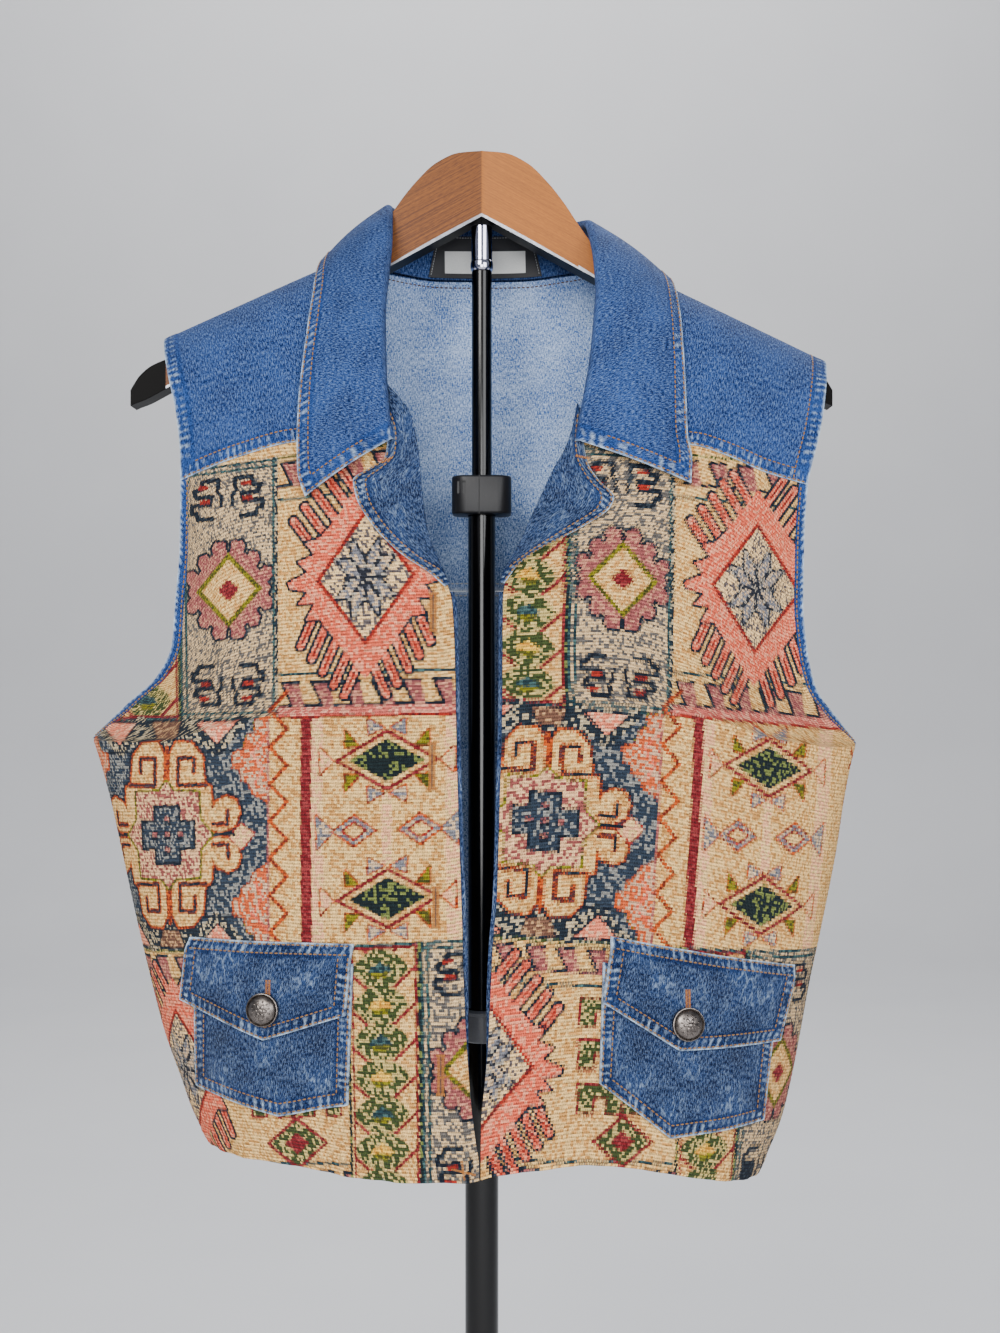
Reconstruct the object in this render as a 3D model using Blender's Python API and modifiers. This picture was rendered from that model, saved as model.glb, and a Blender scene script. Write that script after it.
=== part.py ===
"""Western vest on a hanger stand.

A sleeveless vest hangs open on a wooden hanger head, on top of a telescoping pole with a round base.
The yokes, collar, lapels and pockets are denim, and the fronts are a heavy tapestry cloth.

Metres, +Z up. The origin is on the floor at the pole's axis. The fronts face -Y.
Right and left are the wearer's: right is at -X.
"""

import math
from collections import namedtuple

import bmesh
import bpy
from mathutils import Vector

COLLECTION = "western_vest"
CUTTERS = "cutters"

# Cloth
WALL = 0.0018
SEAM_GAP = 0.0003
FRONT = -1
BACK = 1
RIGHT = -1
LEFT = 1
SIDE_NAMES = {RIGHT: "right", LEFT: "left"}

# Shoulder line, which falls from the neck to the armhole on each side
RIDGE_TOP = 1.1645
RIDGE_SLOPE = {RIGHT: 0.457, LEFT: 0.4874}
RIDGE_SOFTNESS = 0.020
SHOULDER_ROUND = 0.050
SWEEP = 0.04
SWEEP_SOFTNESS = 0.04
SWEEP_FADE_FROM = 0.85
SWEEP_FADE_TO = 1.00

BodyRow = namedtuple("BodyRow", "height right left front back power")
BODY = (
    BodyRow(0.525, 0.1620, 0.1810, 0.094, 0.088, 0.50),
    BodyRow(0.545, 0.1775, 0.1905, 0.093, 0.087, 0.50),
    BodyRow(0.565, 0.1890, 0.1980, 0.091, 0.085, 0.50),
    BodyRow(0.590, 0.1982, 0.2040, 0.088, 0.083, 0.50),
    BodyRow(0.617, 0.2081, 0.2094, 0.085, 0.081, 0.51),
    BodyRow(0.646, 0.2160, 0.2148, 0.081, 0.078, 0.52),
    BodyRow(0.686, 0.2259, 0.2235, 0.076, 0.073, 0.54),
    BodyRow(0.736, 0.2371, 0.2335, 0.070, 0.067, 0.58),
    BodyRow(0.771, 0.2450, 0.2390, 0.066, 0.062, 0.62),
    BodyRow(0.8086, 0.2562, 0.2475, 0.061, 0.058, 0.70),
    BodyRow(0.860, 0.2780, 0.2700, 0.058, 0.055, 0.62),
    BodyRow(0.930, 0.2950, 0.2900, 0.056, 0.054, 0.58),
    BodyRow(1.000, 0.3000, 0.3000, 0.053, 0.052, 0.58),
    BodyRow(1.120, 0.3000, 0.3000, 0.050, 0.048, 0.58),
)
UNDERARM = {RIGHT: 0.8086, LEFT: 0.8050}

# Vertical folds of the fronts: where each one is, its half-width and its depth at the hem
Fold = namedtuple("Fold", "middle half_width depth fades_out_at")
FOLDS = (
    Fold(-0.150, 0.030, 0.0035, 0.80),
    Fold(-0.098, 0.022, -0.0030, 0.74),
    Fold(-0.045, 0.020, 0.0030, 0.70),
    Fold(0.040, 0.022, 0.0030, 0.74),
    Fold(0.095, 0.026, -0.0035, 0.70),
    Fold(0.150, 0.028, 0.0030, 0.78),
)

# Armhole edge: distance from the middle at each height
ARMHOLE_RIGHT = (
    (0.8086, 0.2562), (0.832, 0.228), (0.850, 0.207), (0.870, 0.197), (0.899, 0.194),
    (0.932, 0.1907), (0.985, 0.190), (1.0166, 0.193), (1.0407, 0.1985), (1.072, 0.2065),
)
ARMHOLE_LEFT = (
    (0.8050, 0.2468), (0.8235, 0.2298), (0.842, 0.215), (0.866, 0.2085), (0.899, 0.205),
    (0.9315, 0.205), (0.968, 0.2066), (1.005, 0.215), (1.031, 0.2195), (1.058, 0.2240),
)
BACK_ARMHOLE_EXTRA = 0.006
BACK_ARMHOLE_TOP = 1.040
BACK_ARMHOLE_FADE = 0.050
BAND_WIDTH = 0.006
BAND_TIP = 0.0012
BAND_GAP = 0.0005
BAND_FADE = 0.020

# Front edge, roll line and front neckline: distance from the middle at each height
INNER_RIGHT = (
    (0.540, 0.0005), (0.556, 0.0009), (0.5684, 0.0029), (0.5896, 0.0056), (0.6458, 0.0096),
    (0.700, 0.0115), (0.800, 0.0150), (0.870, 0.0166), (0.8967, 0.0182), (0.9111, 0.0225),
    (0.9267, 0.0290), (0.943, 0.0350), (0.9699, 0.0420), (0.985, 0.0500), (0.995, 0.0575),
    (1.005, 0.0615), (1.030, 0.0650), (1.058, 0.0680), (1.080, 0.0715), (1.100, 0.0760),
    (1.115, 0.0810), (1.1249, 0.0850),
)
INNER_LEFT = (
    (0.540, 0.0003), (0.5774, 0.0005), (0.5986, 0.0024), (0.6227, 0.0047), (0.683, 0.0076),
    (0.713, 0.0101), (0.773, 0.0120), (0.830, 0.0135), (0.895, 0.0139), (0.908, 0.0150),
    (0.9192, 0.0215), (0.9299, 0.0250), (0.9543, 0.0390), (0.970, 0.0480), (0.985, 0.0570),
    (0.995, 0.0645), (1.005, 0.0675), (1.030, 0.0715), (1.058, 0.0765), (1.080, 0.0805),
    (1.100, 0.0845), (1.115, 0.0870), (1.1215, 0.0885),
)

# Heights along the width, by signed x
HEM = ((-0.180, 0.547), (-0.130, 0.5485), (-0.070, 0.5440), (-0.010, 0.5435), (0.010, 0.548),
       (0.060, 0.5530), (0.100, 0.547), (0.140, 0.5370), (0.170, 0.5290), (0.190, 0.525))
BACK_HEM = ((-0.190, 0.543), (-0.100, 0.548), (0.0, 0.551), (0.100, 0.545), (0.195, 0.527))
YOKE_SEAM = ((-0.205, 0.966), (-0.189, 0.9738), (-0.1523, 0.9879), (-0.1173, 0.9968), (-0.057, 1.0005),
             (0.064, 1.000), (0.1343, 0.9949), (0.1553, 0.9885), (0.1795, 0.9784), (0.2098, 0.9701),
             (0.225, 0.966))
BACK_SEAM = 0.908
BACK_NECK = ((-0.0850, 1.1249), (-0.058, 1.1215), (-0.030, 1.1195), (0.030, 1.1195), (0.058, 1.1210),
             (0.0885, 1.1215))

# Collar: one section a row, from the middle of the back to the front point
CollarRow = namedtuple("CollarRow", "face seam_x seam_z fold_x fold_y fold_z edge_x edge_z")
COLLAR_MIDDLE = CollarRow(BACK, 0.0, 1.1207, 0.0, 0.0500, 1.1600, 0.0, 1.1040)
COLLAR_RIGHT = (
    CollarRow(BACK, 0.0300, 1.1207, 0.0250, 0.0480, 1.1600, 0.0360, 1.1035),
    CollarRow(BACK, 0.0550, 1.1227, 0.0440, 0.0380, 1.1605, 0.0690, 1.1040),
    CollarRow(BACK, 0.0740, 1.1250, 0.0550, 0.0200, 1.1600, 0.0910, 1.1090),
    CollarRow(FRONT, 0.0840, 1.1270, 0.0600, 0.0000, 1.1585, 0.1025, 1.1168),
    CollarRow(FRONT, 0.0785, 1.1125, 0.0590, -0.0195, 1.1475, 0.1035, 1.1040),
    CollarRow(FRONT, 0.0740, 1.0980, 0.0582, -0.0340, 1.1260, 0.1045, 1.0900),
    CollarRow(FRONT, 0.0700, 1.0790, 0.0590, -0.0465, 1.1040, 0.1070, 1.0710),
    CollarRow(FRONT, 0.0663, 1.0550, 0.0605, -0.0570, 1.0790, 0.1100, 1.0470),
    CollarRow(FRONT, 0.0642, 1.0340, 0.0600, -0.0600, 1.0500, 0.1125, 1.0230),
    CollarRow(FRONT, 0.0620, 1.0160, 0.0588, -0.0600, 1.0270, 0.1135, 1.0000),
    CollarRow(FRONT, 0.0598, 1.0040, 0.0572, -0.0580, 1.0100, 0.1132, 0.9790),
    CollarRow(FRONT, 0.0560, 0.9985, 0.0545, -0.0560, 0.9980, 0.1085, 0.9625),
)
COLLAR_LEFT = (
    CollarRow(BACK, 0.0300, 1.1207, 0.0260, 0.0480, 1.1600, 0.0400, 1.1035),
    CollarRow(BACK, 0.0580, 1.1222, 0.0450, 0.0380, 1.1560, 0.0780, 1.0990),
    CollarRow(BACK, 0.0775, 1.1228, 0.0600, 0.0200, 1.1525, 0.1075, 1.1035),
    CollarRow(FRONT, 0.0870, 1.1235, 0.0685, 0.0000, 1.1485, 0.1210, 1.1050),
    CollarRow(FRONT, 0.0848, 1.1100, 0.0708, -0.0190, 1.1370, 0.1225, 1.0920),
    CollarRow(FRONT, 0.0828, 1.0980, 0.0727, -0.0340, 1.1190, 0.1240, 1.0770),
    CollarRow(FRONT, 0.0790, 1.0790, 0.0734, -0.0455, 1.0985, 0.1252, 1.0590),
    CollarRow(FRONT, 0.0748, 1.0550, 0.0718, -0.0560, 1.0760, 0.1262, 1.0400),
    CollarRow(FRONT, 0.0710, 1.0340, 0.0688, -0.0600, 1.0480, 0.1270, 1.0200),
    CollarRow(FRONT, 0.0682, 1.0160, 0.0650, -0.0600, 1.0260, 0.1278, 1.0010),
    CollarRow(FRONT, 0.0650, 1.0040, 0.0618, -0.0580, 1.0090, 0.1305, 0.9860),
    CollarRow(FRONT, 0.0622, 0.9985, 0.0600, -0.0560, 0.9970, 0.1300, 0.9710),
)
COLLAR_SECTIONS = 38
COLLAR_ROLL = 0.0024
COLLAR_BULGE = 0.0025
COLLAR_EDGE_LIFT = 0.0037
STAND_SHARE = 0.30
ROLL_SHARE = 0.16
COLLAR_STEPS = (0.0, 0.10, 0.20, 0.29, 0.34, 0.38, 0.42, 0.47, 0.58, 0.70, 0.82, 0.92, 1.0)
COLLAR_PROBE = 0.004

# Lapel: from the roll line out to the free edge, from the break up to the collar notch
LapelRow = namedtuple("LapelRow", "roll_x roll_z edge_x edge_z")
LAPEL_RIGHT = (
    LapelRow(0.0195, 0.9075, 0.0224, 0.9061),
    LapelRow(0.0228, 0.9160, 0.0321, 0.9148),
    LapelRow(0.0274, 0.9267, 0.0481, 0.9255),
    LapelRow(0.0318, 0.9380, 0.0606, 0.9368),
    LapelRow(0.0340, 0.9480, 0.0706, 0.9493),
    LapelRow(0.0357, 0.9600, 0.0769, 0.9605),
    LapelRow(0.0368, 0.9699, 0.0794, 0.9724),
    LapelRow(0.0392, 0.9830, 0.0694, 0.9799),
    LapelRow(0.0418, 0.9956, 0.0575, 0.9870),
    LapelRow(0.0450, 1.0060, 0.0525, 0.9960),
)
LAPEL_LEFT = (
    LapelRow(0.0120, 0.9085, 0.0145, 0.9080),
    LapelRow(0.0140, 0.9160, 0.0240, 0.9205),
    LapelRow(0.0185, 0.9240, 0.0370, 0.9300),
    LapelRow(0.0240, 0.9340, 0.0500, 0.9365),
    LapelRow(0.0300, 0.9470, 0.0640, 0.9440),
    LapelRow(0.0345, 0.9570, 0.0802, 0.9555),
    LapelRow(0.0385, 0.9660, 0.0827, 0.9621),
    LapelRow(0.0458, 0.9812, 0.0730, 0.9730),
    LapelRow(0.0520, 0.9920, 0.0630, 0.9835),
    LapelRow(0.0545, 1.0010, 0.0585, 0.9930),
)
LAPEL_LIFT = 0.0006
LAPEL_ROLL_LIFT = 0.0022

# Facing inside each front edge
FACING_WIDTH = 0.034
FACING_WALL = 0.0012
FACING_GAP = 0.0009
FACING_PEEK = 0.0025
FACING_TOP = 0.903
FACING_BOTTOM_RISE = 0.004

# Pockets and flaps: corners as distance from the middle and height
Pocket = namedtuple("Pocket", "top_outer top_inner low_outer low_inner tip")
POCKETS = {
    RIGHT: Pocket((0.1795, 0.6640), (0.0780, 0.6730), (0.1790, 0.5900), (0.0802, 0.5880), (0.1235, 0.5785)),
    LEFT: Pocket((0.1860, 0.6480), (0.0750, 0.6740), (0.1770, 0.5690), (0.0721, 0.6016), (0.1155, 0.5660)),
}
FLAPS = {
    RIGHT: Pocket((0.1822, 0.6850), (0.0775, 0.6850), (0.1868, 0.6450), (0.0812, 0.6420), (0.1312, 0.6250)),
    LEFT: Pocket((0.1980, 0.6655), (0.0799, 0.6895), (0.1855, 0.6188), (0.0736, 0.6500), (0.1200, 0.6193)),
}
POCKET_WALL = 0.0016
POCKET_LIFT = 0.0008
FLAP_LIFT = 0.0024
FLAP_RISE = 0.22

# Buttons on the flaps
BUTTONS = {RIGHT: (0.1308, 0.6440), LEFT: (0.1242, 0.6354)}
BUTTON_RADIUS = 0.0105
BUTTON_DOME = 0.0042
BUTTON_RIM = 0.0014
BUTTON_SHANK_RADIUS = 0.0040
BUTTON_SHANK = 0.0020
BUTTON_SEGMENTS = 20

# Blank label on the inside of the collar stand
LABEL_RIGHT_X = -0.031
LABEL_LEFT_X = 0.034
LABEL_LOW_SHARE = 0.02
LABEL_HIGH_SHARE = 0.80
LABEL_WALL = 0.0010
LABEL_GAP = 0.0009

# Hanger head: outline of its top, as distance from the middle and height
HANGER_TOP = (
    (0.0, 1.1930), (0.015, 1.1915), (0.030, 1.1845), (0.043, 1.1720), (0.054, 1.1580), (0.0625, 1.1450),
    (0.0725, 1.1310), (0.085, 1.1165), (0.150, 1.0835), (0.203, 1.0560), (0.2140, 1.0510), (0.2220, 1.0440),
    (0.2275, 1.0350),
)
HANGER_APEX = 1.1500
HANGER_UNDER_SLOPE = 0.557
HANGER_TIP = 0.2275
HANGER_TIP_RISE = 0.0015
HANGER_THICKNESS = 0.019
HANGER_BEVEL = 0.0035
HANGER_COLUMNS = 44

# Stand
POLE_SIDES = 28
UPPER_RADIUS = 0.0066
MIDDLE_RADIUS = 0.0090
LOWER_RADIUS = 0.0110
FERRULE_RADIUS = 0.0070
FERRULE_BEAD = 0.0076
FERRULE_BEAD_TALL = 0.0070
FERRULE_BOTTOM = 1.1163
FERRULE_SOCKET = 0.010
SPIGOT_STEP = 0.0012
CLAMP_CENTRE = 0.968
CLAMP_TALL = 0.025
CLAMP_WIDE = 0.039
CLAMP_DEEP = 0.034
CLAMP_BEVEL = 0.004
RING_BOTTOM = 0.610
RING_TOP = 0.631
RING_STEP = 0.618
RING_RADIUS = 0.0123
BASE_RADIUS = 0.160
BASE_THICK = 0.010
BASE_EDGE = 0.004
BOSS_RADIUS = 0.0180
BOSS_TOP = 0.034
BOSS_FLOOR = 0.012


# Colours, linear
DENIM = (0.055, 0.120, 0.280)
POCKET_DENIM = (0.040, 0.110, 0.300)
TAPESTRY = (0.480, 0.330, 0.170)
LABEL_WHITE = (0.750, 0.750, 0.720)
AMBER_WOOD = (0.380, 0.170, 0.050)
GUNMETAL = (0.130, 0.120, 0.110)
CHROME = (0.750, 0.750, 0.780)
BLACK = (0.012, 0.012, 0.013)
BLACK_PLASTIC = (0.030, 0.030, 0.032)

# Faces across and up each wall
PANEL_COLUMNS = 16
PANEL_ROWS = 24
PANEL_ROWS_BELOW = 14
YOKE_COLUMNS = 14
YOKE_ROWS = 10
YOKE_ROW_POWER = 1.6
BACK_COLUMNS = 28
BACK_ROWS = 16
BACK_ROWS_BELOW = 12
BACK_YOKE_ROWS = 12
NECK_COLUMNS = ((10 / BACK_COLUMNS, 0.0885), (18 / BACK_COLUMNS, -0.0850))
FACING_COLUMNS = 4
FACING_ROWS = 20
LAPEL_COLUMNS = 7
LAPEL_GRID_ROWS = 14
POCKET_COLUMNS = 10
POCKET_ROWS = 8
FLAP_ROWS = 6
LABEL_COLUMNS = 6
LABEL_ROWS = 3
HANGER_ROWS = 2


def monotone_slopes(xs, ys):
    """Tangents of a smooth curve through the points that never overshoots them."""
    steps = [(ys[i + 1] - ys[i]) / (xs[i + 1] - xs[i]) for i in range(len(xs) - 1)]
    slopes = [steps[0]]
    for before, after in zip(steps, steps[1:]):
        slopes.append(0.0 if before * after <= 0 else 2 * before * after / (before + after))
    slopes.append(steps[-1])
    return slopes


def smooth_curve(points):
    """Function of x that passes smoothly through (x, y) points and stays level past its ends."""
    xs = [point[0] for point in points]
    ys = [point[1] for point in points]
    slopes = monotone_slopes(xs, ys)

    def value(x):
        if x <= xs[0]:
            return ys[0]
        if x >= xs[-1]:
            return ys[-1]
        i = next(k for k in range(len(xs) - 1) if x <= xs[k + 1])
        width = xs[i + 1] - xs[i]
        s = (x - xs[i]) / width
        rise = ys[i] * (1 + 2 * s) * (1 - s) ** 2 + ys[i + 1] * s * s * (3 - 2 * s)
        return rise + width * (slopes[i] * s * (1 - s) ** 2 - slopes[i + 1] * s * s * (1 - s))

    return value


def body_column(name):
    return smooth_curve([(row.height, getattr(row, name)) for row in BODY])


HALF_WIDTH = {RIGHT: body_column("right"), LEFT: body_column("left")}
DEPTH = {FRONT: body_column("front"), BACK: body_column("back")}
POWER = body_column("power")
ARMHOLE = {RIGHT: smooth_curve(ARMHOLE_RIGHT), LEFT: smooth_curve(ARMHOLE_LEFT)}
INNER = {RIGHT: smooth_curve(INNER_RIGHT), LEFT: smooth_curve(INNER_LEFT)}
HEM_HEIGHT = {FRONT: smooth_curve(HEM), BACK: smooth_curve(BACK_HEM)}
YOKE_HEIGHT = smooth_curve(YOKE_SEAM)
BACK_NECK_HEIGHT = smooth_curve(BACK_NECK)


def lerp(a, b, share):
    return a + (b - a) * share


def ease(share):
    share = min(max(share, 0.0), 1.0)
    return share * share * (3 - 2 * share)


def side_of(x):
    return LEFT if x > 0 else RIGHT


def ridge(x):
    """Height of the shoulder line."""
    return RIDGE_TOP - RIDGE_SLOPE[side_of(x)] * math.hypot(x, RIDGE_SOFTNESS)


def sweep(x, z):
    """Forward shift of the shoulders, which follow the hanger's arms."""
    fade = ease((z - SWEEP_FADE_FROM) / (SWEEP_FADE_TO - SWEEP_FADE_FROM))
    return -SWEEP * fade * (math.hypot(x, SWEEP_SOFTNESS) - SWEEP_SOFTNESS)


def fold_depth(x, z):
    total = 0.0
    for fold in FOLDS:
        share = (x - fold.middle) / fold.half_width
        if abs(share) < 1:
            low = ease((fold.fades_out_at - z) / (fold.fades_out_at - HEM[0][1]))
            total += fold.depth * low * math.cos(share * math.pi / 2) ** 2
    return total


def angle_at(x, z):
    """Position round the body's section, from -90 to +90 degrees, of a distance from the middle."""
    return math.asin(min(max(x / HALF_WIDTH[side_of(x)](z), -1.0), 1.0))


def skin(face, angle, z, lift=0.0):
    """Point of the garment's outer surface, moved out by lift."""
    side = LEFT if angle > 0 else RIGHT
    x = (HALF_WIDTH[side](z) + lift) * math.sin(angle)
    across = max(math.cos(angle), 0.0)
    top = min(max(1 - (ridge(x) - z) / SHOULDER_ROUND, 0.0), 1.0)
    depth = DEPTH[face](z) * across ** (2 * POWER(z)) + fold_depth(x, z) * across
    y = (depth + lift * across) * math.sqrt(1 - top * top) + SEAM_GAP / 2
    return Vector((x, sweep(x, z) + face * y, z + lift * top))


def on_front(x, z, lift):
    return skin(FRONT, angle_at(x, z), z, lift)


def material(name, colour, roughness, metallic=0.0):
    made = bpy.data.materials.new(name)
    made.use_nodes = True
    shader = made.node_tree.nodes["Principled BSDF"]
    shader.inputs["Base Color"].default_value = (*colour, 1.0)
    shader.inputs["Roughness"].default_value = roughness
    shader.inputs["Metallic"].default_value = metallic
    made.diffuse_color = (*colour, 1.0)
    return made


def add_object(name, mesh, colour, roughness, metallic=0.0, smooth=True):
    made = bpy.data.objects.new(name, mesh)
    bpy.data.collections[COLLECTION].objects.link(made)
    mesh.materials.append(material(name, colour, roughness, metallic))
    if smooth:
        mesh.shade_smooth()
        mesh.set_sharp_from_angle(angle=math.radians(35))
    return made


def slab(name, place, across, up, colour, roughness=0.9):
    """Closed wall between place(u, v, 0), its outer side, and place(u, v, 1), its inner side."""
    bm = bmesh.new()
    bmesh.ops.create_grid(bm, x_segments=across, y_segments=up, size=1.0)
    made = bmesh.ops.extrude_face_region(bm, geom=bm.faces[:], use_keep_orig=True)
    inner = [item for item in made["geom"] if isinstance(item, bmesh.types.BMVert)]
    bmesh.ops.translate(bm, vec=(0, 0, -1), verts=inner)
    for vert in bm.verts:
        vert.co = place((vert.co.x + 1) / 2, (vert.co.y + 1) / 2, -vert.co.z)
    bmesh.ops.recalc_face_normals(bm, faces=bm.faces[:])
    if bm.calc_volume(signed=True) < 0:
        bmesh.ops.reverse_faces(bm, faces=bm.faces[:])
    mesh = bpy.data.meshes.new(name)
    bm.to_mesh(mesh)
    bm.free()
    return add_object(name, mesh, colour, roughness)


def stretch(share, middle_share, middle_value):
    """Share of the height, with the row at middle_share kept for middle_value."""
    if share < middle_share:
        return share / middle_share * middle_value
    return lerp(middle_value, 1.0, (share - middle_share) / (1 - middle_share))


def settle(angle_of, bottom, top, share):
    """Angle and height where a boundary meets a row at this share of the panel's height."""
    z = lerp(bottom(0.0), top(0.0), share)
    for _ in range(12):
        angle = angle_of(z)
        side = LEFT if angle > 0 else RIGHT
        x = HALF_WIDTH[side](z) * math.sin(angle)
        z = lerp(bottom(x), top(x), share)
    return angle, z


def panel_place(face, first, last, bottom, top, share_of=lambda v: v, wall=WALL, lift=0.0, pins=()):
    """Place function of a panel that lies between two boundary angles and two boundary heights.

    Each pin keeps one column, given by its share across, at one signed distance from the middle.
    """
    ends = {}

    def place(u, v, depth):
        key = round(v, 6)
        if key not in ends:
            share = share_of(v)
            ends[key] = (settle(first, bottom, top, share)[0], settle(last, bottom, top, share)[0])
        row_z = lerp(bottom(0.0), top(0.0), share_of(v))
        knots = [(0.0, ends[key][0])] + [(pin, angle_at(x, row_z)) for pin, x in pins] + [(1.0, ends[key][1])]
        before, after = next(pair for pair in zip(knots, knots[1:]) if u <= pair[1][0] + 1e-6)
        angle = lerp(before[1], after[1], (u - before[0]) / (after[0] - before[0]))
        _, z = settle(lambda height: angle, bottom, top, share_of(v))
        return skin(face, angle, z, lift - wall * depth)

    return place


def armhole_x(side, z, face):
    extra = BACK_ARMHOLE_EXTRA if face == BACK else 0.0
    fade = ease((z - UNDERARM[side]) / BAND_FADE)
    fade *= ease((BACK_ARMHOLE_TOP - z) / BACK_ARMHOLE_FADE)
    return min(ARMHOLE[side](z) + extra * fade, HALF_WIDTH[side](z))


def band_width(side, z):
    return lerp(BAND_TIP, BAND_WIDTH, ease((z - UNDERARM[side]) / BAND_FADE))


def signed_angle(side, x, z):
    return angle_at(side * x, z)


def outer_boundary(side, face, inset=0.0, band=False):
    """Boundary angle at the side seam and, above the underarm, at the armhole."""
    def angle(z):
        if z < UNDERARM[side]:
            return side * math.pi / 2
        x = armhole_x(side, z, face) - inset
        if band:
            x -= band_width(side, z)
        return signed_angle(side, x, z)
    return angle


def inner_boundary(side):
    def angle(z):
        return signed_angle(side, INNER[side](z), z)
    return angle


def underarm_share(side, face, top):
    x = side * HALF_WIDTH[side](UNDERARM[side])
    low = HEM_HEIGHT[face](x)
    return (UNDERARM[side] + SEAM_GAP - low) / (top(x) - low)


def front_row_share(side, top):
    middle = underarm_share(side, FRONT, top)
    return lambda v: stretch(v, PANEL_ROWS_BELOW / PANEL_ROWS, middle)


def panel_top(x):
    return YOKE_HEIGHT(x) - SEAM_GAP / 2


def front_panel(side):
    place = panel_place(FRONT, outer_boundary(side, FRONT, band=True), inner_boundary(side),
                        HEM_HEIGHT[FRONT], panel_top, front_row_share(side, panel_top))
    slab(f"front_panel_{SIDE_NAMES[side]}", place, PANEL_COLUMNS, PANEL_ROWS, TAPESTRY)


def armhole_band(side):
    """Strip along the armhole, on the same rows as the panel beside it."""
    def inside(z):
        return signed_angle(side, armhole_x(side, z, FRONT) - band_width(side, z) + BAND_GAP, z)

    rows = front_row_share(side, panel_top)

    def share_of(v):
        return rows(lerp(PANEL_ROWS_BELOW / PANEL_ROWS, 1.0, v))

    place = panel_place(FRONT, outer_boundary(side, FRONT), inside, HEM_HEIGHT[FRONT], panel_top, share_of)
    slab(f"armhole_band_{SIDE_NAMES[side]}", place, 1, PANEL_ROWS - PANEL_ROWS_BELOW, DENIM)


def yoke_rows(v):
    """Share of a yoke's height, with the rows closer together at the round of the shoulder."""
    return 1 - (1 - v) ** YOKE_ROW_POWER


def front_yoke(side):
    def bottom(x):
        return YOKE_HEIGHT(x) + SEAM_GAP / 2

    place = panel_place(FRONT, outer_boundary(side, FRONT), inner_boundary(side), bottom, ridge, yoke_rows)
    slab(f"front_yoke_{SIDE_NAMES[side]}", place, YOKE_COLUMNS, YOKE_ROWS, DENIM)


def back_panels():
    """Back in two walls, which meet at a level seam."""
    def seam_low(x):
        return BACK_SEAM - SEAM_GAP / 2

    def seam_high(x):
        return BACK_SEAM + SEAM_GAP / 2

    def top(x):
        return min(ridge(x), BACK_NECK_HEIGHT(x)) if abs(x) < BACK_NECK[-1][0] else ridge(x)

    first = outer_boundary(LEFT, BACK)
    last = outer_boundary(RIGHT, BACK)
    middle = underarm_share(RIGHT, BACK, seam_low)
    place = panel_place(BACK, first, last, HEM_HEIGHT[BACK], seam_low,
                        lambda v: stretch(v, BACK_ROWS_BELOW / BACK_ROWS, middle), pins=NECK_COLUMNS)
    slab("back_body", place, BACK_COLUMNS, BACK_ROWS, DENIM)
    place = panel_place(BACK, first, last, seam_high, top, yoke_rows, pins=NECK_COLUMNS)
    slab("back_yoke", place, BACK_COLUMNS, BACK_YOKE_ROWS, DENIM)


def facing(side):
    """Strip inside the front edge, which peeks past it in the opening."""
    def peek(z):
        return FACING_PEEK * ease((z - 0.60) / 0.06)

    def inner(z):
        return signed_angle(side, INNER[side](z) - peek(z), z)

    def outer(z):
        return signed_angle(side, INNER[side](z) + FACING_WIDTH, z)

    def bottom(x):
        return HEM_HEIGHT[FRONT](x) + FACING_BOTTOM_RISE

    def top(x):
        return FACING_TOP

    place = panel_place(FRONT, outer, inner, bottom, top, wall=FACING_WALL, lift=-WALL - FACING_GAP)
    slab(f"facing_{SIDE_NAMES[side]}", place, FACING_COLUMNS, FACING_ROWS, DENIM)


def lapel(side):
    rows = LAPEL_RIGHT if side == RIGHT else LAPEL_LEFT
    columns = {name: smooth_curve([(i / (len(rows) - 1), getattr(row, name)) for i, row in enumerate(rows)])
               for name in LapelRow._fields}

    def place(u, v, depth):
        x = lerp(columns["roll_x"](v), columns["edge_x"](v), u)
        z = lerp(columns["roll_z"](v), columns["edge_z"](v), u)
        rise = LAPEL_ROLL_LIFT * (1 - u) * math.sin(math.pi * min(v + 0.1, 0.9))
        return on_front(side * x, z, LAPEL_LIFT + rise + WALL * (1 - depth))

    slab(f"lapel_{SIDE_NAMES[side]}", place, LAPEL_COLUMNS, LAPEL_GRID_ROWS, DENIM)


def collar_rows():
    """Sections from the right front point, round the back, to the left front point."""
    rows = []
    for side, half in ((RIGHT, COLLAR_RIGHT), (LEFT, COLLAR_LEFT)):
        signed = [row._replace(seam_x=side * row.seam_x, fold_x=side * row.fold_x, edge_x=side * row.edge_x)
                  for row in half]
        if side == RIGHT:
            rows += signed[::-1] + [COLLAR_MIDDLE]
        else:
            rows += signed
    return rows


def collar_lines():
    """Smooth lines of the neck seam, the fold and the free edge, each a function of the share round."""
    rows = collar_rows()
    seam = [skin(row.face, angle_at(row.seam_x, row.seam_z), row.seam_z, -WALL / 2) for row in rows]
    fold = [Vector((row.fold_x, row.fold_y, row.fold_z)) for row in rows]
    edge = [skin(row.face, angle_at(row.edge_x, row.edge_z), row.edge_z, COLLAR_EDGE_LIFT) for row in rows]
    lines = []
    for points in (seam, fold, edge):
        axes = [smooth_curve([(i / (len(rows) - 1), point[axis]) for i, point in enumerate(points)])
                for axis in range(3)]
        lines.append(lambda q, axes=axes: Vector([axis(q) for axis in axes]))
    return lines


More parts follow.
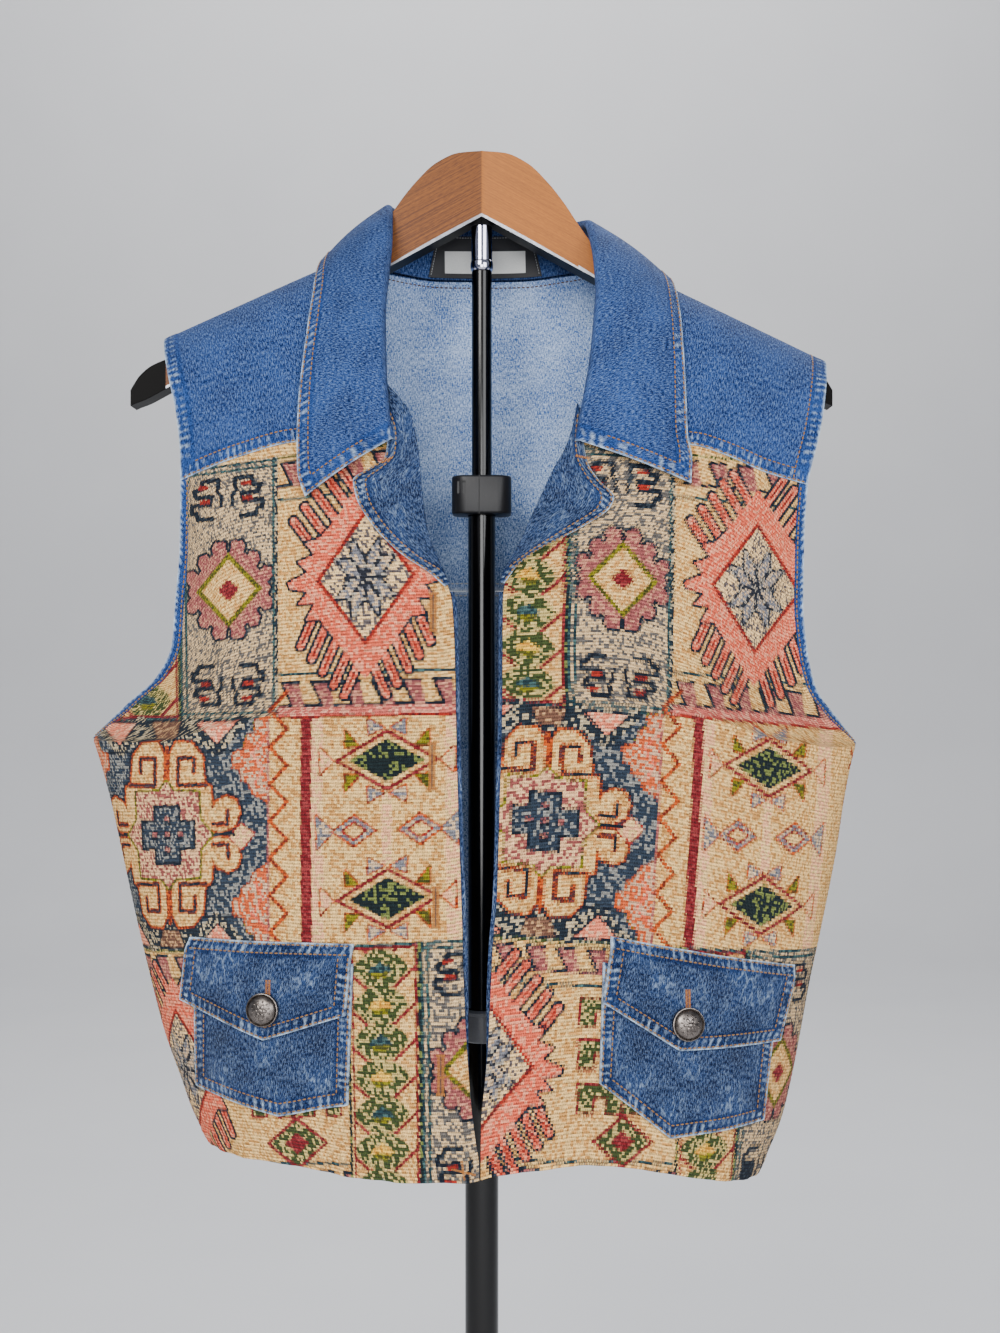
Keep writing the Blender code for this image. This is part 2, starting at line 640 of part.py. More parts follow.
def collar_section(lines, q, v):
    """Middle of the collar's wall: up the stand, over the fold and down the fall."""
    seam, fold, edge = (line(q) for line in lines)
    toward = (fold - (seam + edge) / 2).normalized()
    outward = Vector((fold.x, fold.y, 0.0)).normalized()
    outward = (outward - toward * outward.dot(toward)).normalized()
    centre = fold - toward * COLLAR_ROLL
    if v < STAND_SHARE:
        return seam.lerp(centre - outward * COLLAR_ROLL, v / STAND_SHARE)
    if v < STAND_SHARE + ROLL_SHARE:
        turn = lerp(-math.pi / 2, math.pi / 2, (v - STAND_SHARE) / ROLL_SHARE)
        return centre + COLLAR_ROLL * (toward * math.cos(turn) + outward * math.sin(turn))
    share = (v - STAND_SHARE - ROLL_SHARE) / (1 - STAND_SHARE - ROLL_SHARE)
    bulge = COLLAR_BULGE * math.sin(math.pi * share)
    return (centre + outward * COLLAR_ROLL).lerp(edge, share) + outward * bulge


def collar_point(lines, q, v, offset):
    """Point of the collar moved along its normal, towards the face side."""
    step = COLLAR_PROBE
    along = collar_section(lines, min(q + step, 1.0), v) - collar_section(lines, max(q - step, 0.0), v)
    up = collar_section(lines, q, min(v + step, 1.0)) - collar_section(lines, q, max(v - step, 0.0))
    return collar_section(lines, q, v) + along.cross(up).normalized() * offset


def collar():
    lines = collar_lines()

    def place(u, v, depth):
        share = COLLAR_STEPS[round(v * (len(COLLAR_STEPS) - 1))]
        return collar_point(lines, u, share, WALL * (0.5 - depth))

    slab("collar", place, COLLAR_SECTIONS, len(COLLAR_STEPS) - 1, DENIM)


def neck_label():
    """Blank label that lies on the face of the collar stand, at the back of the neck."""
    lines = collar_lines()
    spot = smooth_curve([(lines[1](q / 100).x, q / 100) for q in range(45, 56)])

    def place(u, v, depth):
        q = spot(lerp(LABEL_RIGHT_X, LABEL_LEFT_X, u))
        share = lerp(LABEL_LOW_SHARE, LABEL_HIGH_SHARE, v) * STAND_SHARE
        offset = WALL / 2 + LABEL_GAP + LABEL_WALL * (1 - depth)
        return collar_point(lines, q, share, offset)

    slab("neck_label", place, LABEL_COLUMNS, LABEL_ROWS, LABEL_WHITE, 0.7)


def pointed_place(corners, side, lift_of, wall):
    """Place function of a four-sided patch whose lower edge runs down to a point."""
    low_outer = Vector(corners.low_outer)
    low_inner = Vector(corners.low_inner)
    top_outer = Vector(corners.top_outer)
    top_inner = Vector(corners.top_inner)
    tip = Vector(corners.tip)
    tip_share = (tip.x - low_outer.x) / (low_inner.x - low_outer.x)
    drop = tip - low_outer.lerp(low_inner, tip_share)

    def place(u, v, depth):
        tent = u / tip_share if u < tip_share else (1 - u) / (1 - tip_share)
        spot = top_outer.lerp(top_inner, u).lerp(low_outer.lerp(low_inner, u), v) + drop * tent * v
        return on_front(side * spot.x, spot.y, lift_of(u, v) + wall * (1 - depth))

    return place


def pocket(side):
    """Patch pocket and its flap, which starts on the panel and lies over the pocket's top."""
    name = SIDE_NAMES[side]
    place = pointed_place(POCKETS[side], side, lambda u, v: POCKET_LIFT, POCKET_WALL)
    slab(f"pocket_{name}", place, POCKET_COLUMNS, POCKET_ROWS, POCKET_DENIM)
    place = pointed_place(FLAPS[side], side, lambda u, v: POCKET_LIFT + FLAP_LIFT * ease(v / FLAP_RISE), WALL)
    slab(f"pocket_flap_{name}", place, POCKET_COLUMNS, FLAP_ROWS, POCKET_DENIM)


def turned(name, profile, sides, colour, roughness, metallic=0.0):
    """Solid of revolution round Z. The profile runs from top to bottom on its outer side."""
    bm = bmesh.new()
    verts = [bm.verts.new((radius, 0.0, z)) for radius, z in profile]
    for a, b in zip(verts, verts[1:]):
        bm.edges.new((a, b))
    if profile[0][0] > 0 and profile[-1][0] > 0:
        bm.edges.new((verts[-1], verts[0]))
    mesh = bpy.data.meshes.new(name)
    bm.to_mesh(mesh)
    bm.free()
    made = add_object(name, mesh, colour, roughness, metallic, smooth=False)
    screw = made.modifiers.new("Turn", "SCREW")
    screw.steps = sides
    screw.render_steps = sides
    screw.use_merge_vertices = True
    screw.merge_threshold = 0.0001
    screw.use_smooth_shade = True
    return made


def flap_button(side):
    """Domed shank button, square to the flap under it."""
    x, z = BUTTONS[side]
    seat_lift = POCKET_LIFT + FLAP_LIFT + WALL + SEAM_GAP
    seat = on_front(side * x, z, seat_lift)
    step = 0.008
    across = on_front(side * x + step, z, seat_lift) - on_front(side * x - step, z, seat_lift)
    up = on_front(side * x, z + step, seat_lift) - on_front(side * x, z - step, seat_lift)
    normal = across.cross(up).normalized()
    rim = BUTTON_SHANK + BUTTON_RIM
    dome = [(BUTTON_RADIUS * math.sin(turn), rim + BUTTON_DOME * math.cos(turn))
            for turn in (math.radians(15 * k) for k in range(7))]
    profile = dome + [(BUTTON_RADIUS, BUTTON_SHANK), (BUTTON_SHANK_RADIUS, BUTTON_SHANK),
                      (BUTTON_SHANK_RADIUS, 0.0), (0.0, 0.0)]
    made = turned(f"flap_button_{SIDE_NAMES[side]}", profile, BUTTON_SEGMENTS, GUNMETAL, 0.35, 1.0)
    made.location = seat
    made.rotation_euler = normal.to_track_quat("Z", "Y").to_euler()


def hanger():
    """Two flat arms that meet in a ridge at the middle."""
    top_of = smooth_curve(HANGER_TOP)

    def under(x):
        lift = HANGER_TIP_RISE * ease((x - HANGER_TIP + 0.012) / 0.012)
        return HANGER_APEX - HANGER_UNDER_SLOPE * x + lift

    def place(u, v, depth):
        x = (2 * u - 1) * HANGER_TIP
        z = lerp(under(abs(x)), top_of(abs(x)), v)
        y = -SWEEP * abs(x) + HANGER_THICKNESS * (depth - 0.5)
        return Vector((x, y, z))

    made = slab("hanger", place, HANGER_COLUMNS, HANGER_ROWS, AMBER_WOOD, 0.45)
    bevel = made.modifiers.new("Round edges", "BEVEL")
    bevel.width = HANGER_BEVEL
    bevel.segments = 2
    bevel.limit_method = "ANGLE"
    bevel.angle_limit = math.radians(60)


def ferrule():
    top = HANGER_APEX - HANGER_UNDER_SLOPE * FERRULE_RADIUS - 2 * SEAM_GAP
    bead_top = FERRULE_BOTTOM + FERRULE_BEAD_TALL
    bore = UPPER_RADIUS + SEAM_GAP - SPIGOT_STEP
    profile = [
        (0.0, top), (FERRULE_RADIUS, top), (FERRULE_RADIUS, bead_top), (FERRULE_BEAD, bead_top - 0.001),
        (FERRULE_BEAD, FERRULE_BOTTOM + 0.001), (FERRULE_RADIUS, FERRULE_BOTTOM), (bore, FERRULE_BOTTOM),
        (bore, FERRULE_BOTTOM + FERRULE_SOCKET), (0.0, FERRULE_BOTTOM + FERRULE_SOCKET),
    ]
    turned("hanger_ferrule", profile, POLE_SIDES, CHROME, 0.12, 1.0)


def poles():
    """Three sections of the pole. The upper one has a thinner spigot inside the ferrule."""
    spigot = UPPER_RADIUS - SPIGOT_STEP
    spigot_top = FERRULE_BOTTOM + FERRULE_SOCKET - SEAM_GAP
    shoulder = FERRULE_BOTTOM - SEAM_GAP
    upper_bottom = CLAMP_CENTRE + SEAM_GAP
    turned("pole_upper", [(0.0, spigot_top), (spigot, spigot_top), (spigot, shoulder),
                          (UPPER_RADIUS, shoulder), (UPPER_RADIUS, upper_bottom), (0.0, upper_bottom)],
           POLE_SIDES, BLACK, 0.3)
    middle_bottom = RING_STEP + SEAM_GAP / 2
    turned("pole_middle", [(0.0, CLAMP_CENTRE), (MIDDLE_RADIUS, CLAMP_CENTRE), (MIDDLE_RADIUS, middle_bottom),
                           (0.0, middle_bottom)], POLE_SIDES, BLACK, 0.3)
    lower_top = RING_STEP - SEAM_GAP / 2
    lower_bottom = BOSS_FLOOR + SEAM_GAP
    turned("pole_lower", [(0.0, lower_top), (LOWER_RADIUS, lower_top), (LOWER_RADIUS, lower_bottom),
                          (0.0, lower_bottom)], POLE_SIDES, BLACK, 0.3)


def pole_ring():
    upper_bore = MIDDLE_RADIUS + SEAM_GAP
    lower_bore = LOWER_RADIUS + SEAM_GAP
    outer = RING_RADIUS + 0.0004
    turned("pole_ring", [
        (upper_bore, RING_TOP), (RING_RADIUS - 0.001, RING_TOP), (outer, RING_TOP - 0.001),
        (outer, RING_BOTTOM), (lower_bore, RING_BOTTOM), (lower_bore, RING_STEP + SEAM_GAP / 2),
        (upper_bore, RING_STEP + SEAM_GAP / 2),
    ], POLE_SIDES, BLACK_PLASTIC, 0.5)


def pole_clamp():
    """Rounded block round the joint between the upper and the middle section."""
    bpy.ops.mesh.primitive_cube_add(size=1.0, location=(0, 0, CLAMP_CENTRE))
    made = bpy.context.object
    made.name = "pole_clamp"
    for vert in made.data.vertices:
        vert.co = Vector((vert.co.x * CLAMP_WIDE, vert.co.y * CLAMP_DEEP, vert.co.z * CLAMP_TALL))
    for owner in list(made.users_collection):
        owner.objects.unlink(made)
    bpy.data.collections[COLLECTION].objects.link(made)
    made.data.materials.append(material("pole_clamp", BLACK_PLASTIC, 0.5))
    bevel = made.modifiers.new("Round edges", "BEVEL")
    bevel.width = CLAMP_BEVEL
    bevel.segments = 2
    over = CLAMP_TALL
    wide = MIDDLE_RADIUS + SEAM_GAP
    narrow = UPPER_RADIUS + SEAM_GAP
    step = CLAMP_CENTRE + SEAM_GAP
    cutter = turned("clamp_bore", [(0.0, CLAMP_CENTRE + over), (narrow, CLAMP_CENTRE + over), (narrow, step),
                                   (wide, step), (wide, CLAMP_CENTRE - over), (0.0, CLAMP_CENTRE - over)],
                    POLE_SIDES, BLACK, 0.5)
    bpy.data.collections[COLLECTION].objects.unlink(cutter)
    bpy.data.collections[CUTTERS].objects.link(cutter)
    cutter.hide_render = True
    cutter.display_type = "WIRE"
    cut = made.modifiers.new("Bore", "BOOLEAN")
    cut.operation = "DIFFERENCE"
    cut.object = cutter


def stand_base():
    bore = LOWER_RADIUS + SEAM_GAP
    turned("stand_base", [
        (0.0, BOSS_FLOOR), (bore, BOSS_FLOOR), (bore, BOSS_TOP), (BOSS_RADIUS - 0.002, BOSS_TOP),
        (BOSS_RADIUS, BOSS_TOP - 0.002), (BOSS_RADIUS, BASE_THICK + 0.004), (BOSS_RADIUS + 0.004, BASE_THICK),
        (BASE_RADIUS - BASE_EDGE, BASE_THICK), (BASE_RADIUS, BASE_THICK - BASE_EDGE), (BASE_RADIUS, 0.0),
        (0.0, 0.0),
    ], 48, BLACK, 0.45)


def main():
    for old in list(bpy.data.objects):
        bpy.data.objects.remove(old, do_unlink=True)
    for name in (COLLECTION, CUTTERS):
        bpy.context.scene.collection.children.link(bpy.data.collections.new(name))
    back_panels()
    for side in (RIGHT, LEFT):
        front_panel(side)
        armhole_band(side)
        front_yoke(side)
        facing(side)
        lapel(side)
        pocket(side)
        flap_button(side)
    collar()
    neck_label()
    hanger()
    ferrule()
    poles()
    pole_ring()
    pole_clamp()
    stand_base()


if __name__ == "__main__":
    main()
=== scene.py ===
import math
from collections import namedtuple

import bmesh
import bpy
import numpy as np
from bpy.props import FloatProperty, FloatVectorProperty, IntProperty, PointerProperty
from bpy.types import Operator, Panel, PropertyGroup
from mathutils import Matrix, Vector


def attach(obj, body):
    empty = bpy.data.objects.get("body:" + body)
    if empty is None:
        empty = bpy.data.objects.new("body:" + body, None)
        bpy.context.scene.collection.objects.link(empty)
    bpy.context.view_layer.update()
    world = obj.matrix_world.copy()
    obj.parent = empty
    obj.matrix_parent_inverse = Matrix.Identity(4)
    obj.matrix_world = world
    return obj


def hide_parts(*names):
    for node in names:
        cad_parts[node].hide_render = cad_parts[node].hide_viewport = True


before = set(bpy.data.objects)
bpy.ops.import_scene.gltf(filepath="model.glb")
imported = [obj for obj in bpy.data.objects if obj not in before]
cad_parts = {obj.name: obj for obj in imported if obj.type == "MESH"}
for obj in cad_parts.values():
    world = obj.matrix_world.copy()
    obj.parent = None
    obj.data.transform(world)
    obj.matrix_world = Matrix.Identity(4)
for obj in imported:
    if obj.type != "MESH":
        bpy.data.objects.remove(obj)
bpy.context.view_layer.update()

bl_info = {
    "name": "Western vest on a hanger stand",
    "version": (1, 0, 0),
    "blender": (4, 5, 0),
    "location": "View3D > Sidebar > Vest",
    "description": "Cloth, stitching, buttons, hanger and stand of a sleeveless denim and tapestry vest",
    "category": "Add Mesh",
}


def table(kind, values):
    """Named rows of a table of measures."""
    return [kind(*row) for row in values]


# Sides and faces. Right and left are the wearer's, and right is at -X
FRONT = -1
BACK = 1
RIGHT = -1
LEFT = 1
SIDE_NAMES = {RIGHT: "right", LEFT: "left"}
SEAM_GAP = 0.0003

# How far the sewn margin reaches from an edge
SEAM_REACH = 0.008
POCKET_REACH = 0.0075
COLLAR_REACH = 0.0085
NARROW_REACH = 0.004

# Photograph's frame: width, height, camera and pixels of its focal length
PHOTO_WIDE = 1000
PHOTO_TALL = 1333
CAMERA_PLACE = (0.012, -1.12, 0.856)
FOCAL_PIXELS = 1700
SENSOR = 36.0

# Shoulder line, which falls from the neck to the armhole on each side
RIDGE_TOP = 1.1645
RIDGE_SLOPE = {RIGHT: 0.457, LEFT: 0.4874}
RIDGE_SOFTNESS = 0.02
SHOULDER_ROUND = 0.05
SWEEP = 0.04
SWEEP_SOFTNESS = 0.04
SWEEP_FADE_FROM = 0.85
SWEEP_FADE_TO = 1.0

BodyRow = namedtuple("BodyRow", "height right left front back power")
BODY = table(BodyRow, (
    (0.525, 0.162, 0.181, 0.094, 0.088, 0.5), (0.545, 0.1775, 0.1905, 0.093, 0.087, 0.5),
    (0.565, 0.189, 0.198, 0.091, 0.085, 0.5), (0.59, 0.1982, 0.204, 0.088, 0.083, 0.5),
    (0.617, 0.2081, 0.2094, 0.085, 0.081, 0.51), (0.646, 0.216, 0.2148, 0.081, 0.078, 0.52),
    (0.686, 0.2259, 0.2235, 0.076, 0.073, 0.54), (0.736, 0.2371, 0.2335, 0.07, 0.067, 0.58),
    (0.771, 0.245, 0.239, 0.066, 0.062, 0.62), (0.8086, 0.2562, 0.2475, 0.061, 0.058, 0.7),
    (0.86, 0.278, 0.27, 0.058, 0.055, 0.62), (0.93, 0.295, 0.29, 0.056, 0.054, 0.58),
    (1.0, 0.3, 0.3, 0.053, 0.052, 0.58), (1.12, 0.3, 0.3, 0.05, 0.048, 0.58),
))
UNDERARM = {RIGHT: 0.8086, LEFT: 0.805}

# Vertical folds of the fronts: where each one is, its half-width and its depth at the hem
Fold = namedtuple("Fold", "middle half_width depth fades_out_at")
FOLDS = table(Fold, (
    (-0.15, 0.03, 0.0035, 0.8), (-0.098, 0.022, -0.003, 0.74), (-0.045, 0.02, 0.003, 0.7),
    (0.04, 0.022, 0.003, 0.74), (0.095, 0.026, -0.0035, 0.7), (0.15, 0.028, 0.003, 0.78),
))

# Creases of the cloth: ends, half-width and depth, out of the cloth where positive
Crease = namedtuple("Crease", "x0 z0 x1 z1 half_width depth")
CREASES = {
    FRONT: table(Crease, (
        (-0.205, 0.8, -0.12, 0.745, 0.012, -0.0012), (-0.215, 0.77, -0.11, 0.7, 0.014, 0.0013),
        (-0.06, 0.96, -0.048, 0.82, 0.012, 0.0012), (-0.12, 0.93, -0.1, 0.72, 0.016, -0.0012),
        (-0.18, 0.88, -0.165, 0.72, 0.014, 0.0014), (-0.15, 1.08, -0.125, 1.0, 0.012, 0.001),
        (-0.175, 1.05, -0.165, 0.985, 0.01, -0.0009), (0.215, 0.8, 0.13, 0.74, 0.013, -0.0013),
        (0.22, 0.76, 0.12, 0.7, 0.014, 0.0012), (0.05, 0.94, 0.062, 0.78, 0.013, -0.0011),
        (0.11, 0.96, 0.096, 0.74, 0.016, 0.0013), (0.17, 0.93, 0.178, 0.76, 0.013, -0.0012),
        (0.165, 1.07, 0.14, 1.0, 0.013, 0.001), (0.2, 1.05, 0.19, 0.985, 0.01, -0.0009),
        (-0.02, 0.72, -0.03, 0.56, 0.01, 0.0012), (0.022, 0.7, 0.03, 0.565, 0.01, -0.0012),
    )),
    BACK: table(Crease, (
        (-0.14, 0.89, -0.11, 0.6, 0.024, 0.004), (-0.06, 0.86, -0.045, 0.58, 0.02, -0.003),
        (0.02, 0.88, 0.035, 0.59, 0.022, 0.0034), (0.11, 0.88, 0.095, 0.6, 0.024, -0.0034),
        (0.165, 0.83, 0.15, 0.58, 0.018, 0.0028), (-0.18, 1.02, -0.06, 1.06, 0.014, 0.0016),
        (0.19, 1.01, 0.07, 1.06, 0.014, 0.0016), (-0.19, 0.83, -0.09, 0.76, 0.015, 0.0018),
        (0.19, 0.82, 0.08, 0.75, 0.015, 0.0018),
    )),
}

# Armhole edge: distance from the middle at each height
ARMHOLE_RIGHT = (
    (0.8086, 0.2562), (0.832, 0.228), (0.85, 0.207), (0.87, 0.197), (0.899, 0.194), (0.932, 0.1907),
    (0.985, 0.19), (1.0166, 0.193), (1.0407, 0.1985), (1.072, 0.2065),
)
ARMHOLE_LEFT = (
    (0.805, 0.2468), (0.8235, 0.2298), (0.842, 0.215), (0.866, 0.2085), (0.899, 0.205), (0.9315, 0.205),
    (0.968, 0.2066), (1.005, 0.215), (1.031, 0.2195), (1.058, 0.224),
)
BACK_ARMHOLE_EXTRA = 0.006
BACK_ARMHOLE_TOP = 1.04
BACK_ARMHOLE_FADE = 0.05
BAND_WIDTH = 0.006
BAND_TIP = 0.0012
BAND_GAP = 0.0005
BAND_FADE = 0.02

# Front edge, roll line and front neckline: distance from the middle at each height
INNER_RIGHT = (
    (0.54, 0.0005), (0.556, 0.0009), (0.5684, 0.0029), (0.5896, 0.0056), (0.6458, 0.0096), (0.7, 0.0115),
    (0.8, 0.015), (0.87, 0.0166), (0.8967, 0.0182), (0.9111, 0.0225), (0.9267, 0.029), (0.943, 0.035),
    (0.9699, 0.042), (0.985, 0.05), (0.995, 0.0575), (1.005, 0.0615), (1.03, 0.065), (1.058, 0.068),
    (1.08, 0.0715), (1.1, 0.076), (1.115, 0.081), (1.1249, 0.085),
)
INNER_LEFT = (
    (0.54, 0.0003), (0.5774, 0.0005), (0.5986, 0.0024), (0.6227, 0.0047), (0.683, 0.0076), (0.713, 0.0101),
    (0.773, 0.012), (0.83, 0.0135), (0.895, 0.0139), (0.908, 0.015), (0.9192, 0.0215), (0.9299, 0.025),
    (0.9543, 0.039), (0.97, 0.048), (0.985, 0.057), (0.995, 0.0645), (1.005, 0.0675), (1.03, 0.0715),
    (1.058, 0.0765), (1.08, 0.0805), (1.1, 0.0845), (1.115, 0.087), (1.1215, 0.0885),
)

# Heights along the width, by signed x
HEM = (
    (-0.18, 0.547), (-0.13, 0.5485), (-0.07, 0.544), (-0.01, 0.5435), (0.01, 0.548), (0.06, 0.553),
    (0.1, 0.547), (0.14, 0.537), (0.17, 0.529), (0.19, 0.525),
)
BACK_HEM = (
    (-0.19, 0.543), (-0.1, 0.548), (0.0, 0.551), (0.1, 0.545), (0.195, 0.527),
)
YOKE_SEAM = (
    (-0.205, 0.966), (-0.189, 0.9738), (-0.1523, 0.9879), (-0.1173, 0.9968), (-0.057, 1.0005), (0.064, 1.0),
    (0.1343, 0.9949), (0.1553, 0.9885), (0.1795, 0.9784), (0.2098, 0.9701), (0.225, 0.966),
)
BACK_SEAM = 0.908
BACK_NECK = (
    (-0.085, 1.1249), (-0.058, 1.1215), (-0.03, 1.1195), (0.03, 1.1195), (0.058, 1.121), (0.0885, 1.1215),
)

# Collar: one section a row, from the middle of the back to the front point
CollarRow = namedtuple("CollarRow", "face seam_x seam_z fold_x fold_y fold_z edge_x edge_z")
COLLAR_MIDDLE = CollarRow(BACK, 0.0, 1.1207, 0.0, 0.05, 1.16, 0.0, 1.104)
COLLAR_RIGHT = table(CollarRow, (
    (BACK, 0.03, 1.1207, 0.025, 0.048, 1.16, 0.036, 1.1035),
    (BACK, 0.055, 1.1227, 0.044, 0.038, 1.1605, 0.069, 1.104),
    (BACK, 0.074, 1.125, 0.055, 0.02, 1.16, 0.091, 1.109),
    (FRONT, 0.084, 1.127, 0.06, 0.0, 1.1585, 0.1025, 1.1168),
    (FRONT, 0.0785, 1.1125, 0.059, -0.0195, 1.1475, 0.1035, 1.104),
    (FRONT, 0.074, 1.098, 0.0582, -0.034, 1.126, 0.1045, 1.09),
    (FRONT, 0.07, 1.079, 0.059, -0.0465, 1.104, 0.107, 1.071),
    (FRONT, 0.0663, 1.055, 0.0605, -0.057, 1.079, 0.11, 1.047),
    (FRONT, 0.0642, 1.034, 0.06, -0.06, 1.05, 0.1125, 1.023),
    (FRONT, 0.062, 1.016, 0.0588, -0.06, 1.027, 0.1135, 1.0),
    (FRONT, 0.0598, 1.004, 0.0572, -0.058, 1.01, 0.1132, 0.979),
    (FRONT, 0.056, 0.9985, 0.0545, -0.056, 0.998, 0.1085, 0.9625),
))
COLLAR_LEFT = table(CollarRow, (
    (BACK, 0.03, 1.1207, 0.026, 0.048, 1.16, 0.04, 1.1035),
    (BACK, 0.058, 1.1222, 0.045, 0.038, 1.156, 0.078, 1.099),
    (BACK, 0.0775, 1.1228, 0.06, 0.02, 1.1525, 0.1075, 1.1035),
    (FRONT, 0.087, 1.1235, 0.0685, 0.0, 1.1485, 0.121, 1.105),
    (FRONT, 0.0848, 1.11, 0.0708, -0.019, 1.137, 0.1225, 1.092),
    (FRONT, 0.0828, 1.098, 0.0727, -0.034, 1.119, 0.124, 1.077),
    (FRONT, 0.079, 1.079, 0.0734, -0.0455, 1.0985, 0.1252, 1.059),
    (FRONT, 0.0748, 1.055, 0.0718, -0.056, 1.076, 0.1262, 1.04),
    (FRONT, 0.071, 1.034, 0.0688, -0.06, 1.048, 0.127, 1.02),
    (FRONT, 0.0682, 1.016, 0.065, -0.06, 1.026, 0.1278, 1.001),
    (FRONT, 0.065, 1.004, 0.0618, -0.058, 1.009, 0.1305, 0.986),
    (FRONT, 0.0622, 0.9985, 0.06, -0.056, 0.997, 0.13, 0.971),
))
COLLAR_ROLL = 0.0024
COLLAR_BULGE = 0.0025
COLLAR_EDGE_LIFT = 0.0037
STAND_SHARE = 0.3
ROLL_SHARE = 0.16
COLLAR_STEPS = (0.0, 0.1, 0.2, 0.29, 0.34, 0.38, 0.42, 0.47, 0.58, 0.7, 0.82, 0.92, 1.0)
COLLAR_PROBE = 0.004

# Lapel: from the roll line out to the free edge, from the break up to the collar notch
LapelRow = namedtuple("LapelRow", "roll_x roll_z edge_x edge_z")
LAPELS = {
    RIGHT: table(LapelRow, (
        (0.0195, 0.9075, 0.0224, 0.9061), (0.0228, 0.916, 0.0321, 0.9148), (0.0274, 0.9267, 0.0481, 0.9255),
        (0.0318, 0.938, 0.0606, 0.9368), (0.034, 0.948, 0.0706, 0.9493), (0.0357, 0.96, 0.0769, 0.9605),
        (0.0368, 0.9699, 0.0794, 0.9724), (0.0378, 0.983, 0.0694, 0.9799), (0.04, 0.9985, 0.06, 0.9862),
        (0.0445, 1.016, 0.058, 0.999), (0.059, 1.034, 0.064, 1.018),
    )),
    LEFT: table(LapelRow, (
        (0.012, 0.9085, 0.0145, 0.908), (0.014, 0.916, 0.024, 0.9205), (0.0185, 0.924, 0.037, 0.93),
        (0.024, 0.934, 0.05, 0.9365), (0.03, 0.947, 0.064, 0.944), (0.0345, 0.957, 0.0802, 0.9555),
        (0.0385, 0.966, 0.0827, 0.9621), (0.0458, 0.9812, 0.073, 0.973), (0.052, 0.992, 0.0665, 0.9835),
        (0.057, 1.006, 0.064, 0.9975), (0.06, 1.021, 0.065, 1.013),
    )),
}
LAPEL_LIFT = 0.0006
LAPEL_ROLL_LIFT = 0.0022

# Facing inside each front edge
FACING_WIDTH = 0.034
FACING_WALL = 0.0012
FACING_GAP = 0.0009
FACING_PEEK = 0.0025
FACING_TOP = 0.903
FACING_BOTTOM_RISE = 0.004

# Pockets and flaps: corners as distance from the middle and height
Pocket = namedtuple("Pocket", "top_outer top_inner low_outer low_inner tip")
POCKETS = {
    RIGHT: Pocket((0.1795, 0.664), (0.078, 0.673), (0.179, 0.59), (0.0802, 0.588), (0.1235, 0.5785)),
    LEFT: Pocket((0.186, 0.648), (0.075, 0.674), (0.177, 0.569), (0.0721, 0.6016), (0.1155, 0.566)),
}
FLAPS = {
    RIGHT: Pocket((0.1822, 0.685), (0.0775, 0.685), (0.1868, 0.645), (0.0812, 0.642), (0.1312, 0.625)),
    LEFT: Pocket((0.198, 0.6655), (0.0799, 0.6895), (0.1855, 0.6188), (0.0736, 0.65), (0.12, 0.6193)),
}
POCKET_WALL = 0.0016
POCKET_LIFT = 0.0008
FLAP_LIFT = 0.0024
FLAP_RISE = 0.22

# Buttons on the flaps: distance from the middle and height
BUTTONS = {RIGHT: (0.1308, 0.644), LEFT: (0.1242, 0.6354)}
BUTTON_SHANK_RADIUS = 0.004
BUTTON_SHANK = 0.002
BUTTON_RIM = 0.0014

# Blank label on the inside of the collar stand
LABEL_RIGHT_X = -0.031
LABEL_LEFT_X = 0.034
LABEL_LOW_SHARE = 0.02
LABEL_HIGH_SHARE = 0.8
LABEL_WALL = 0.001
LABEL_GAP = 0.0009

# Hanger head: outline of its top, as distance from the middle and height
HANGER_TOP = (
    (0.0, 1.193), (0.015, 1.1915), (0.03, 1.1845), (0.043, 1.172), (0.054, 1.158), (0.0625, 1.145),
    (0.0725, 1.131), (0.085, 1.1165), (0.15, 1.0835), (0.203, 1.056), (0.214, 1.051), (0.222, 1.044),
    (0.2275, 1.035),
)
HANGER_APEX = 1.15
HANGER_UNDER_SLOPE = 0.557
HANGER_TIP = 0.2275
HANGER_TIP_RISE = 0.0015
HANGER_THICKNESS = 0.019

# Stand
FERRULE_RADIUS = 0.007
FERRULE_BEAD = 0.0076
FERRULE_BOTTOM = 1.1163
CLAMP_CENTRE = 0.968
RING_BOTTOM = 0.61
RING_TOP = 0.631
RING_STEP = 0.618
RING_STEPS = ((-0.0012, 0.0), (0.0004, 0.0014), (0.0004, 0.003), (-0.0003, 0.0036), (0.0002, 0.005))
BOSS_TOP = 0.034
SOCKET_FLOOR = 0.012
BASE_ROUND = 0.004


# Curves and measures

class Curve:
    """Smooth curve through (x, y) points that never overshoots them and stays level past its ends."""

    def __init__(self, points, span=1):
        x, self.y = np.array(points, dtype=float).T
        self.x = x / span
        steps = np.diff(self.y) / np.diff(self.x)
        before, after = steps[:-1], steps[1:]
        turns = before * after <= 0
        total = np.where(turns, 1.0, before + after)
        middle = np.where(turns, 0.0, 2 * before * after / total)
        self.slope = np.concatenate([steps[:1], middle, steps[-1:]])

    def __call__(self, x):
        x = np.clip(x, self.x[0], self.x[-1])
        i = np.clip(np.searchsorted(self.x, x, side="right") - 1, 0, len(self.x) - 2)
        width = self.x[i + 1] - self.x[i]
        s = (x - self.x[i]) / width
        rise = self.y[i] * (1 + 2 * s) * (1 - s) ** 2 + self.y[i + 1] * s * s * (3 - 2 * s)
        return rise + width * (self.slope[i] * s * (1 - s) ** 2 - self.slope[i + 1] * s * s * (1 - s))


def even_curve(values):
    """Curve through values at equal steps from 0 to 1."""
    return Curve(list(enumerate(values)), len(values) - 1)


